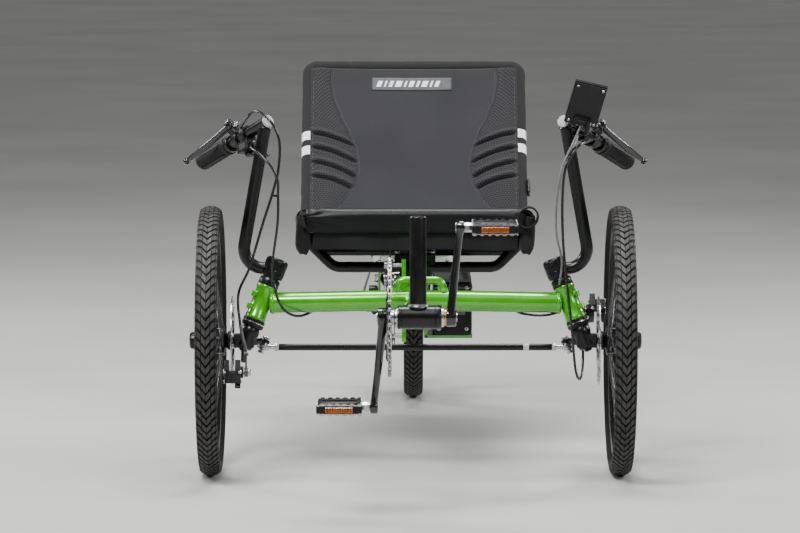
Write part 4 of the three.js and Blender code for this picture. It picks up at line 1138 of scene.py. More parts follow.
def make_seat_back():
    rows = 176
    grid = []
    for r in range(rows + 1):
        v = mix(BACK_START, 0.978, r / rows)
        grid.append([back_point(x, v, back_lift(x, v)) for x in back_columns(v)])
    side = 26

    def zone(r, c):
        return 1 if c < side or c >= side + 36 else 0

    back = cloth_sheet("back_cloth", grid, [PANEL_CLOTH, MESH_CLOTH], zone, 1.6, "frame", ["seat_back"])
    seams = Shape()
    thread = Shape()
    for sign in (-1, 1):
        line = []
        for r in range(0, rows + 1, 2):
            v = mix(BACK_START, 0.978, r / rows)
            x = sign * panel_edge(v)
            line.append(back_point(x, v, back_lift(x, v) + 0.9))
        seams.pipe(line, 1.0, 8)
        beside = [p + vec(-sign * 3.2, 0, 0) + BACK_OUT * 0.05 for p in line]
        stitches(thread, beside)
    build("back_seams", seams, DARK_THREAD, "frame")
    line = [
        vec(-SEAT_HALF, *CROTCH) + BACK_ALONG * 24, vec(-SEAT_HALF, *TOP_RAIL), vec(SEAT_HALF, *TOP_RAIL),
        vec(SEAT_HALF, *CROTCH) + BACK_ALONG * 24,
    ]
    rail = resample(bent(line, RAIL_BEND, 10), 7)
    sleeve = cloth_sheet(
        "back_sleeve", sleeve_grid(rail, SLEEVE_RADIUS), [SLEEVE_CLOTH], plain, 1.2, "frame", closed=True,
    )
    for sign in (-1, 1):
        edge = []
        for r in range(0, rows + 1, 3):
            v = mix(BACK_START, 0.93, r / rows)
            x = sign * (back_edge(v) - 5)
            edge.append(back_point(x, v, back_lift(x, v) + 0.9))
        stitches(thread, edge)
    edge = [back_point(x, 0.972, back_lift(x, 0.972) + 0.9) for x in range(-180, 181, 10)]
    stitches(thread, edge)
    build("back_stitches", thread, GREY_THREAD, "frame")
    wraps = Shape()
    for sign, lows in ((-1, (0.473, 0.557)), (1, (0.486, 0.571))):
        for low in lows:
            foot = back_point(sign * SEAT_HALF, low, 0)
            out = vec(sign, 0, 0)
            arc = []
            for k in range(25):
                turn = math.radians(mix(-150, 96, k / 24))
                away = out * math.cos(turn) + BACK_OUT * math.sin(turn)
                arc.append(
                    [
                        foot + away * r + BACK_ALONG * h
                        for r, h in ((14.4, 0), (14.4, 20), (15.2, 20), (15.2, 0))
                    ]
                )
            wraps.rings(arc)
    build("reflective_wraps", wraps, TAPE, "frame")


def make_label():
    low, high = 0.855, 0.925
    grid = []
    for r in range(9):
        v = mix(low, high, r / 8)
        grid.append(
            [back_point(x, v, back_lift(x, v) + 1.5) for x in [mix(-82, 74, c / 30) for c in range(31)]]
        )
    patch = cloth_sheet("back_label", grid, [LABEL], plain, 0.8, "frame")
    bars = Shape()
    widths = [9, 4, 7, 12, 4, 9, 5, 11, 4, 8]
    x = -74.0
    for width in widths:
        v0, v1 = 0.874, 0.907
        corners = [(x, v0), (x + width, v0), (x + width + 4.5, v1), (x + 4.5, v1)]
        low_ring = [back_point(a, v, back_lift(a, v) + 1.7) for a, v in corners]
        high_ring = [back_point(a, v, back_lift(a, v) + 2.5) for a, v in corners]
        bars.rings([low_ring, high_ring])
        x += width + 5.4
    build("label_bars", bars, WHITE_THREAD, "frame")


def apron_profile():
    """The front cloth in side view: up over the front rail, then back along the seat."""
    y0, z0 = FRONT_RAIL
    radius = SLEEVE_RADIUS + 0.8
    line = [vec(0, y0 - 8, 424), vec(0, y0 - 12.5, 427), vec(0, y0 - 14.6, 433), vec(0, y0 - 15.2, 443)]
    finish = math.atan2(BASE_OUT.z, BASE_OUT.y)
    for k in range(9):
        angle = mix(math.pi, finish, k / 8)
        line.append(vec(0, y0 + radius * math.cos(angle), z0 + radius * math.sin(angle)))
    return resample(line, 2.2)


def make_seat_base():
    front = apron_profile()
    rows = 120
    grid = []
    half = SEAT_HALF - 4
    places = [mix(-half, half, c / 100) for c in range(101)]
    for i, point in enumerate(front):
        row = []
        for x in places:
            inset = abs(x) - (SEAT_HALF - RAIL_BEND)
            back = RAIL_BEND - math.sqrt(RAIL_BEND**2 - inset**2) if inset > 0 else 0
            corner = vec(-half, 0, 454)
            away = vec(x, 0, point.z) - corner
            turn = math.atan2(-away.z, away.x)
            gather = math.exp(-away.length / 46) * math.sin(13 * turn + 0.6)
            other = vec(x - half, 0, point.z - 452)
            tug = math.exp(-other.length / 60) * math.sin(8 * math.atan2(-other.z, -other.x) + 1.0)
            hang = min(max((446 - point.z) / 16, 0), 1)
            fold = 0.8 * math.sin(x / 17 + 1.3 * math.sin(x / 41)) * hang
            fold += 2.4 * gather + 1.3 * tug + 0.4 * math.sin(x / 7.3 + i * 0.5) * hang
            row.append(vec(x, point.y + back * 0.8 - fold * 0.7, point.z + fold * 0.25))
        grid.append(row)
    for r in range(1, rows + 1):
        v = 0.97 * r / rows
        row = []
        for x in places:
            reach = abs(x) / half
            lift = SLEEVE_RADIUS + 0.8 - 13 * (1 - reach**2) * math.sin(math.pi * v) ** 0.7
            row.append(base_point(x, v, lift))
        grid.append(row)
    front_rows = len(front)

    def zone(r, c):
        if r < front_rows + 5:
            return 2
        return 1 if c < 17 or c >= 83 else 0

    base = cloth_sheet(
        "base_cloth", grid, [PANEL_CLOTH, MESH_CLOTH, APRON_CLOTH], zone, 1.6, "frame", ["seat_base"],
    )
    for name, sign in (("base_sleeve_right", -1), ("base_sleeve_left", 1)):
        line = [base_point(sign * SEAT_HALF, 0.045, 0), base_point(sign * SEAT_HALF, 0.96, 0)]
        grid = sleeve_grid(resample(line, 7), SLEEVE_RADIUS, seed=5)
        sleeve = cloth_sheet(name, grid, [SLEEVE_CLOTH], plain, 1.2, "frame", closed=True)
    # A dark webbing band hung just behind the front apron, from z 434 down to 391. It is partly real webbing
    # and partly painted shade: the dark sheet stands in for the shaded underside of the seat base below the
    # front rail.
    skirt_and_painted_shade = []
    for k in range(14):
        z = mix(434, 391, k / 13)
        row = []
        for c in range(121):
            x = mix(-188, 188, c / 120)
            fold = 2.2 * math.sin(x / 13 + 1.1 * math.sin(x / 29)) * (k / 13)
            row.append(vec(x, FRONT_RAIL[0] - 3 + fold, z + 1.5 * math.sin(x / 31)))
        skirt_and_painted_shade.append(row)
    band = cloth_sheet("seat_skirt", skirt_and_painted_shade, [SLEEVE_DARK], plain, 1.4, "frame")


def make_seat_ends():
    """The corner flaps, the gathered corner, the open sleeve end and the strap buckle."""
    for name, sign in (("corner_flap_right", -1), ("corner_flap_left", 1)):
        rings = []
        for k in range(9):
            share = k / 8
            z = mix(452, 384, share)
            wide = mix(12, 14.5, share) * math.sqrt(max(1 - max(share - 0.72, 0) ** 2 * 9.5, 0.05))
            deep = mix(13, 9, share)
            ring = []
            for s in range(24):
                angle = 2 * math.pi * s / 24
                ripple = 1 + 0.07 * math.sin(3 * angle + k * 0.7)
                ring.append(
                    vec(
                        sign * (208 - share * 3) + wide * ripple * math.cos(angle),
                        FRONT_RAIL[0] + 4 + deep * ripple * math.sin(angle),
                        z + 2.0 * math.sin(2 * angle),
                    )
                )
            rings.append(ring)
        flap = Shape().rings(rings[::-1])
        obj = build(name, flap, SLEEVE_DARK, "frame", angle=80)
    ruffle = Shape()
    for k in range(7):
        angle = math.radians(200 + k * 24)
        start = vec(-207, FRONT_RAIL[0] - 8, 462 - k * 2.6)
        end = start + vec(-7 * math.cos(angle * 0.4), -6 - 1.5 * math.sin(angle), -13 - 2.0 * math.sin(angle))
        middle = (start + end) / 2 + vec(-3, -5, 0)
        ruffle.pipe(smooth_line([start, middle, end], 5), 2.3, 8)
    obj = build("gathered_corner", ruffle, SLEEVE_DARK, "frame", angle=80)
    ring = []
    centre = vec(207, FRONT_RAIL[0] - 6, 452)
    for k in range(10):
        row = []
        for s in range(33):
            angle = 2 * math.pi * s / 32
            radius = 17.2 + 1.0 * math.sin(2 * angle + 0.4) + (0.9 if k == 0 else 0)
            row.append(
                centre + vec(
                    radius * math.cos(angle), -11 + k * 3.4 + 1.5 * math.sin(angle),
                    1.06 * radius * math.sin(angle),
                )
            )
        ring.append(row)
    cuff = cloth_sheet("sleeve_end_left", ring, [SLEEVE_CLOTH], plain, 2.6, "frame", closed=True)
    buckle = Shape()
    place = back_point(SEAT_HALF + 17.5, 0.30, 2)
    buckle.block((5, 20, 30), place, UP_X, BACK_OUT)
    buckle.block((7, 8, 24), place + BACK_ALONG + BACK_OUT * 4, UP_X, BACK_OUT)
    build("strap_buckle", buckle, PLASTIC, "frame", bevel=1.6)
    rows = []
    for k in range(41):
        x = mix(-SEAT_HALF - 15.2, SEAT_HALF + 15.2, k / 40)
        over = max(abs(x) - SEAT_HALF, 0)
        low = -16.2 + (16.2 - math.sqrt(max(16.2**2 - over**2, 0.1)))
        rows.append([back_point(x, mix(0.27, 0.33, c / 4), low) for c in range(5)])
    strap = cloth_sheet("back_strap", rows, [SLEEVE_DARK], plain, 1.6, "frame")


make_seat_frame()
make_seat_back()
make_label()
make_seat_base()
make_seat_ends()

# ------------------------------------------------------------ drive train
def pitch_radius(teeth):
    return CHAIN_PITCH / (2 * math.sin(math.pi / teeth))


def sprocket(shape, teeth, centre, thickness, bore, sides_per_tooth=6, rise=2.6, dip=3.4):
    """A toothed disc in the plane across X."""
    radius = pitch_radius(teeth)
    outer = []
    inner = []
    count = teeth * sides_per_tooth
    for k in range(count):
        turn = 2 * math.pi * k / count
        wave = math.cos(teeth * turn)
        r = radius + (rise * wave**0.8 if wave > 0 else -dip * (-wave) ** 1.3)
        outer.append((r * math.cos(turn), r * math.sin(turn)))
        inner.append((bore * math.cos(turn), bore * math.sin(turn)))
    rings = []
    for outline, x in ((outer, 0.5), (outer, -0.5), (inner, -0.5), (inner, 0.5)):
        rings.append([centre + vec(x * thickness, a, b) for a, b in outline])
    return shape.rings(rings, closed=True)


GUIDE_JOCKEY = (735, 168)
TENSION_JOCKEY = (768, 112)
PULLEYS = [
    (CRANK_Y, CRANK_Z, pitch_radius(RING_TEETH), -1),
    (-200, 363, IDLER_PITCH_RADIUS, 1),
    (REAR_Y, WHEEL_RADIUS, pitch_radius(COG_TEETH[COG_IN_USE]), -1),
    (*GUIDE_JOCKEY, pitch_radius(JOCKEY_TEETH), 1),
    (*TENSION_JOCKEY, pitch_radius(JOCKEY_TEETH), -1),
    (-200, 232, IDLER_PITCH_RADIUS, 1),
]


def chain_line():
    """The chain's middle line: straight runs that touch each wheel, and the arcs between them."""
    count = len(PULLEYS)
    runs = []
    for i, (y1, z1, r1, s1) in enumerate(PULLEYS):
        y2, z2, r2, s2 = PULLEYS[(i + 1) % count]
        distance = math.hypot(y2 - y1, z2 - z1)
        runs.append(math.atan2(z2 - z1, y2 - y1) + math.asin((s1 * r1 - s2 * r2) / distance))
    points = []
    for i, (y, z, r, sense) in enumerate(PULLEYS):
        arriving = runs[i - 1]
        turn = sense * ((sense * (runs[i] - arriving)) % (2 * math.pi))
        steps = max(4, math.ceil(abs(turn) * r / 4))
        for k in range(steps + 1):
            heading = arriving + turn * k / steps
            points.append(vec(CHAIN_X, y + sense * r * math.sin(heading), z - sense * r * math.cos(heading)))
    return points


def evenly(points, count):
    """Count places at equal distances along a closed line."""
    lengths = [0.0]
    for a, b in zip(points, points[1:] + points[:1]):
        lengths.append(lengths[-1] + (b - a).length)
    total = lengths[-1]
    places = []
    i = 0
    for k in range(count):
        want = total * k / count
        while lengths[i + 1] < want:
            i += 1
        span = lengths[i + 1] - lengths[i]
        a = points[i]
        b = points[(i + 1) % len(points)]
        places.append(a.lerp(b, (want - lengths[i]) / span if span > 1e-9 else 0))
    return places


def link_plate(shape, a, b, x):
    """One figure-eight side plate between two pins."""
    along = (b - a).normalized()
    outward = along.cross(UP_X)
    outline = []
    for k in range(7):
        turn = math.pi / 2 + math.pi * k / 6
        outline.append(a + along * (4.2 * math.cos(turn)) + outward * (4.2 * math.sin(turn)))
    outline.append((a + b) / 2 - outward * 2.9)
    for k in range(7):
        turn = -math.pi / 2 + math.pi * k / 6
        outline.append(b + along * (4.2 * math.cos(turn)) + outward * (4.2 * math.sin(turn)))
    outline.append((a + b) / 2 + outward * 2.9)
    low = [p + vec(x - 0.45, 0, 0) for p in outline]
    high = [p + vec(x + 0.45, 0, 0) for p in outline]
    shape.rings([low, high])


def make_chain():
    line = chain_line()
    total = sum((b - a).length for a, b in zip(line, line[1:] + line[:1]))
    count = 2 * round(total / CHAIN_PITCH / 2)
    pins = evenly(line, count)
    plates = Shape()
    rollers = Shape()
    for i, pin in enumerate(pins):
        ahead = pins[(i + 1) % count]
        offset = 1.55 if i % 2 else 2.6
        for side in (-1, 1):
            link_plate(plates, pin, ahead, side * offset)
        rollers.rod(3.6, pin + vec(-1.2, 0, 0), pin + vec(1.2, 0, 0), 10)
        rollers.rod(1.5, pin + vec(-3.35, 0, 0), pin + vec(3.35, 0, 0), 8)
    build("chain_plates", plates, DULL_STEEL, "frame", ["chain"])
    build("chain_rollers", rollers, STEEL, "frame")


def make_wheels_of_chain():
    for name, teeth, y, z, body in (
        ("idler_drive", 14, -200, 363, "idler_drive"),
        ("idler_return", 14, -200, 232, "idler_return"),
        ("jockey_guide", JOCKEY_TEETH, *GUIDE_JOCKEY, "jockey_guide"),
        ("jockey_tension", JOCKEY_TEETH, *TENSION_JOCKEY, "jockey_tension"),
    ):
        centre = vec(CHAIN_X, y, z)
        disc = Shape()
        bore = 9 if teeth > 11 else 7
        sprocket(disc, teeth, centre, 2.1, bore, rise=1.8, dip=4.4)
        low = 4.4 if teeth > 11 else 3.2
        reach = bore + 3
        loop = [(low, -4), (reach, -4), (reach, 4), (low, 4), (low, -4)]
        disc.lathe(loop, centre, UP_X, 32)
        for k in range(5):
            turn = 2 * math.pi * k / 5
            spot = centre + vec(0, 14 * math.cos(turn), 14 * math.sin(turn))
            if teeth > 11:
                disc.rod(2.2, spot + vec(-1.6, 0, 0), spot + vec(1.6, 0, 0), 12)
        build(name + "_wheel", disc, PLASTIC, body, [name])
    ring = Shape()
    centre = vec(CHAIN_X, CRANK_Y, CRANK_Z)
    sprocket(ring, RING_TEETH, centre, 2.2, 80, 6, 2.8, 3.6)
    spider = Shape()
    for k in range(5):
        turn = 2 * math.pi * k / 5 + 0.3
        out = vec(0, math.cos(turn), math.sin(turn))
        side = vec(0, -math.sin(turn), math.cos(turn))
        outline = [(14, -13), (60, -8), (76, -7.5), (83, -5), (83, 5), (76, 7.5), (60, 8), (14, 13)]
        spider.plate(outline, 4, centre + vec(-3.2, 0, 0), out, side)
        spider.rod(4.6, centre + out * 77 + vec(-6.4, 0, 0), centre + out * 77 + vec(2.2, 0, 0), 16, 0.6)
    spider.lathe([(10, -6), (24, -6), (24, -1), (10, -1), (10, -6)], centre, UP_X, 40)
    build("chainring_teeth", ring, GREY_ALLOY, "crank", ["chainring"], bevel=0.2)
    build("chainring_spider", spider, ALLOY, "crank", bevel=0.5)
    cogs = Shape()
    for i, teeth in enumerate(COG_TEETH):
        at = vec(CHAIN_X + (i - COG_IN_USE) * COG_SPACING, REAR_Y, WHEEL_RADIUS)
        sprocket(cogs, teeth, at, 1.8, 17.2, 6, 2.2, 4.0)
    cogs.lathe(
        [(16.8, -14), (19, -14), (19, 19), (16.8, 19), (16.8, -14)], vec(CHAIN_X, REAR_Y, WHEEL_RADIUS), UP_X,
        36,
    )
    build("cassette_cogs", cogs, STEEL, "cassette", ["cassette"])


def make_derailleur():
    arm = Shape()
    arm.pipe(
        smooth_line([vec(-76, 741, 222), vec(-86, 746, 206), vec(-90, 752, 190), vec(-76, 742, 172)], 6), 8.5,
        20,
    )
    arm.lathe([(0, -9), (10, -9), (11, -8), (11, 8), (10, 9), (0, 9)], vec(-82, 742, 216), UP_X, 28)
    arm.block((16, 12, 40), vec(-89, 752, 192), UP_X, vec(0, 0.98, 0.2))
    build("derailleur_arm", arm, ALLOY, "frame", ["derailleur"], bevel=1.6)
    cage = Shape()
    gy, gz = GUIDE_JOCKEY
    ty, tz = TENSION_JOCKEY
    tilt = math.atan2(tz - gz, ty - gy)
    for x in (-7.6, 7.6):
        outline = []
        for k in range(9):
            turn = tilt + math.pi / 2 + math.pi * k / 8
            outline.append((gy + 12 * math.cos(turn), gz + 12 * math.sin(turn)))
        for k in range(9):
            turn = tilt - math.pi / 2 + math.pi * k / 8
            outline.append((ty + 11 * math.cos(turn), tz + 11 * math.sin(turn)))
        cage.plate(outline, 1.8, vec(CHAIN_X + x, 0, 0), vec(0, 1, 0), vec(0, 0, 1))
    build("derailleur_plates", cage, ALLOY, "frame", ["derailleur_cage"], bevel=0.4)
    pins = Shape()
    for y, z in (GUIDE_JOCKEY, TENSION_JOCKEY):
        pins.rod(2.9, vec(CHAIN_X - 9, y, z), vec(CHAIN_X + 9, y, z), 16)
        bolt(pins, vec(CHAIN_X - 8.6, y, z), vec(-1, 0, 0), 4, 2)
    build("derailleur_bolts", pins, STEEL, "frame")


make_chain()
make_wheels_of_chain()
make_derailleur()

# ------------------------------------------------------------ cranks and pedals
PEDAL_IN = 92
PEDAL_OUT = 170


def crank_shape(up):
    """One crank on the rider's right, up = +1 or down = -1."""
    arm = Shape()
    steps = 26
    rings = []
    for k in range(steps + 1):
        share = k / steps
        x = mix(-57, -73, share**1.15)
        z = CRANK_Z + up * CRANK_LENGTH * share
        wide = table_value([(0, 15.5), (0.12, 14), (0.3, 11.2), (0.75, 9.4), (0.9, 9.8), (1, 11.5)], share)
        thick = table_value([(0, 8.5), (0.15, 7.6), (0.8, 6.2), (1, 6.2)], share)
        ring = []
        for s in range(28):
            angle = 2 * math.pi * s / 28
            c = math.cos(angle)
            d = math.sin(angle)
            ring.append(
                vec(
                    x + thick * math.copysign(abs(c) ** 0.62, c),
                    CRANK_Y + up * wide * math.copysign(abs(d) ** 0.8, d),
                    z,
                )
            )
        rings.append(ring)
    if up < 0:
        rings = [ring[:] for ring in rings]
    arm.rings(rings)
    arm.lathe(
        [(0, -66.5), (13, -66.5), (15.6, -65), (16, -52), (15, -50), (0, -50)],
        vec(0, CRANK_Y, CRANK_Z), UP_X, 40,
    )
    top = CRANK_Z + up * CRANK_LENGTH
    arm.lathe(
        [(0, -79), (10.4, -79), (11.8, -78), (12, -67.2), (10.8, -66), (0, -66)], vec(0, CRANK_Y, top), UP_X,
        36,
    )
    trim = Shape()
    trim.lathe(
        [(0, -68), (7.6, -68), (8.2, -67.4), (8.2, -66.2), (0, -66.2)], vec(0, CRANK_Y, CRANK_Z), UP_X, 24,
    )
    trim.lathe(
        [(0, -66.4), (7.8, -66.4), (8.6, -65.8), (8.6, -65.0), (0, -65)], vec(0, CRANK_Y, top), UP_X, 24,
    )
    trim.rod(4.5, vec(-79, CRANK_Y, top), vec(-PEDAL_OUT + 2, CRANK_Y, top), 20)
    trim.lathe(
        [(0, -92.5), (7.8, -92.5), (8.2, -91), (8.2, -80.6), (7.4, -79.2), (0, -79.2)], vec(0, CRANK_Y, top),
        UP_X, 6,
    )
    return arm, trim


def pedal_shapes(up):
    middle = vec(-(PEDAL_IN + PEDAL_OUT) / 2, CRANK_Y, CRANK_Z + up * CRANK_LENGTH)
    length = PEDAL_OUT - PEDAL_IN
    body = Shape()
    half = length / 2
    body.lathe(
        [
            (5.4, -half + 0.5), (9, -half + 0.5), (10, -half + 2), (9.2, 0), (10, half - 2), (9, half - 0.5),
            (5.4, half - 0.5), (5.4, -half + 0.5),
        ],
        middle, UP_X, 32,
    )
    for side in (-1, 1):
        body.block((9, 84, 16), middle + vec(side * (length / 2 - 5), 0, 0))
        body.block((length - 10, 7, 15), middle + vec(0, side * 40, 0))
    teeth = Shape()
    for side in (-1, 1):
        for level in (-1, 1):
            outline = [(-length / 2 + 1, -1.4)]
            x = -length / 2 + 1
            step = (length - 2) / 12
            for k in range(12):
                low = 1.4
                high = 3.4
                tip = high if k % 2 else low
                outline += [(x + step * 0.12, tip), (x + step * 0.88, tip)]
                x += step
            outline.append((length / 2 - 1, -1.4))
            outline = outline[::-1]
            spot = middle + vec(0, side * 42.6, level * 7.2)
            teeth.plate(outline, 1.6, spot, UP_X, vec(0, 0, level))
        for level in (-1, 1):
            outline = [(-42, -1.2)]
            y = -42.0
            for k in range(14):
                tip = 2.8 if k % 2 else 1.0
                outline += [(y + 0.7, tip), (y + 5.3, tip)]
                y += 6
            outline.append((42, -1.2))
            spot = middle + vec(side * (length / 2 - 1.6), 0, level * 7.4)
            teeth.plate(outline[::-1], 1.5, spot, vec(0, 1, 0), vec(0, 0, level))
    glow = Shape()
    carrier = Shape()
    for side in (-1, 1):
        at = middle + vec(0, side * 46.6, 0)
        carrier.block((52, 3.4, 13), at - vec(0, side * 1.6, 0))
        for k in range(11):
            for level in (-1, 0, 1):
                spot = at + vec(-21 + k * 4.2, side * 1.0, level * 3.2)
                tip = spot + vec(0, side * 1.9, 0)
                corners = [(-2.1, -1.6), (2.1, -1.6), (2.1, 1.6), (-2.1, 1.6)]
                ring = [spot + vec(a, 0, b) for a, b in corners]
                ring2 = [tip + vec(a * 0.35, 0, b * 0.35) for a, b in corners]
                if side > 0:
                    glow.rings([ring2, ring])
                else:
                    glow.rings([ring, ring2])
        glow.block((46.4, 2, 9.8), at + vec(0, side * 0.1, 0))
    return body, teeth, carrier, glow


def make_cranks():
    for name, up, flip in (("right", -1, False), ("left", 1, True)):
        shapes = [*crank_shape(up), *pedal_shapes(up)]
        if flip:
            shapes = [shape.mirrored() for shape in shapes]
        arm, trim, body, teeth, carrier, glow = shapes
        build("crank_arm_" + name, arm, GLOSS, "crank", ["crank_" + name], angle=50)
        build("crank_trim_" + name, trim, STEEL, "crank")
        build("pedal_body_" + name, body, PLASTIC, "pedal_" + name, ["pedal_" + name], bevel=1.2)
        build("pedal_teeth_" + name, teeth, STEEL, "pedal_" + name)
        build(
            "reflector_holder_" + name, carrier, PLASTIC, "pedal_" + name, ["reflector_" + name], bevel=0.8,
        )
        build("reflector_lens_" + name, glow, AMBER, "pedal_" + name)
    rings = Shape()
    rings.lathe(
        [(9.5, -50), (13, -50), (13.5, -49), (13.5, -38.6), (9.5, -38.6), (9.5, -50)], SHELL, UP_X, 40,
    )
    build("crank_spacer_right", rings, STEEL, "crank")
    gold = Shape()
    gold.lathe([(9.5, 46.4), (14, 46.4), (14, 49.6), (9.5, 49.6), (9.5, 46.4)], SHELL, UP_X, 40)
    build("crank_spacer_left", gold, BRASS, "crank")


make_cranks()

# ------------------------------------------------------------ handlebars and what is on them
GRIP_FRONT = vec(-265.5, FRONT_Y, 638)
GRIP_BACK = vec(-390, FRONT_Y + 170, 553)
GRIP_AXIS = (GRIP_BACK - GRIP_FRONT).normalized()
GRIP_END = (GRIP_BACK - GRIP_FRONT).length
GRIP_START = 130
PERCH_AT = 98
LEVER_PIVOT = vec(-335, FRONT_Y + 77, 626)
LEVER_TIP = vec(-417, FRONT_Y + 127, 557)
LEVER_AXIS = GRIP_AXIS.cross((LEVER_TIP - LEVER_PIVOT).normalized()).normalized()


def on_grip(distance):
    return GRIP_FRONT + GRIP_AXIS * distance


def flatten(direction, normal):
    return (direction - normal * direction.dot(normal)).normalized()


def collar_on(shape, at, half_width, radius, axis, rounding=1.2):
    r = rounding
    w = half_width
    profile = [
        (BAR_RADIUS + 0.3, -w), (radius - r, -w), (radius, -w + r), (radius, w - r), (radius - r, w),
        (BAR_RADIUS + 0.3, w), (BAR_RADIUS + 0.3, -w),
    ]
    return shape.lathe(profile, at, axis, 36)


def make_bars():
    bar = Shape()
    riser = [on_kingpin(140), vec(-316, FRONT_Y + 27, 372), vec(-268, FRONT_Y + 8, 640)]
    bar.pipe(bent(riser, 36, 14), BAR_RADIUS, 36)
    bar.pipe([GRIP_FRONT, on_grip(GRIP_END - 4)], BAR_RADIUS, 36)
    clamp = Shape()
    low, high = CLAMP
    clamp.lathe(
        [(14.6, low), (18.4, low), (20.2, low + 1.4), (20.6, low + 6), (20.6, high - 6), (19.6, high - 1.2),
         (17, high), (0, high)],
        AXIS_FOOT, AXIS_UP, 48,
    )
    ear = flatten(vec(-0.2, 1, 0), AXIS_UP)
    cross = AXIS_UP.cross(ear)
    middle = on_kingpin((low + high) / 2)
    for side in (-1, 1):
        clamp.block((9, 16, high - low - 4), middle + ear * 21 + cross * (side * 5.6), cross, ear)
    clamp.block((24, 12, high - low - 6), middle - ear * 16, cross, ear)
    bolts = Shape()
    for along in (-9, 9):
        spot = middle + ear * 23 + AXIS_UP * along
        bolts.rod(2.6, spot - cross * 11, spot + cross * 11, 14)
        bolt(bolts, spot + cross * 10, cross, 4.3, 4)
        bolt(bolts, middle - ear * 21.6 + AXIS_UP * along, -ear, 3.6, 3)
    plug = Shape()
    end = vec(-268, FRONT_Y + 8, 640)
    out = (end - vec(-316, FRONT_Y + 27, 372)).normalized()
    cap = on_grip(-2)
    plug.lathe(
        [(0, -2), (11.1, -2), (11.6, -1), (11.6, 0.6), (10.4, 2.2), (7, 3), (0, 3.2)], cap, -GRIP_AXIS, 36,
    )
    weld = Shape()
    weld.lathe(
        [(10.6, -15), (12.0, -14), (13.0, -12.4), (12.0, -10.8), (10.6, -9.6), (10.6, -15)], end, out, 36,
    )
    for side, flip in (("right", False), ("left", True)):
        body = "steer_" + side
        shapes = [s.mirrored() if flip else s for s in (bar, clamp, bolts, plug, weld)]
        build("bar_tubes_" + side, shapes[0], SATIN, body, ["handlebar_" + side])
        build("bar_clamp_" + side, shapes[1], ALLOY, body, bevel=2.4)
        build("clamp_bolts_" + side, shapes[2], DARK_STEEL, body)
        build("bar_plug_" + side, shapes[3], LIGHT_PLUG, body)
        build("bar_weld_" + side, shapes[4], SATIN, body)


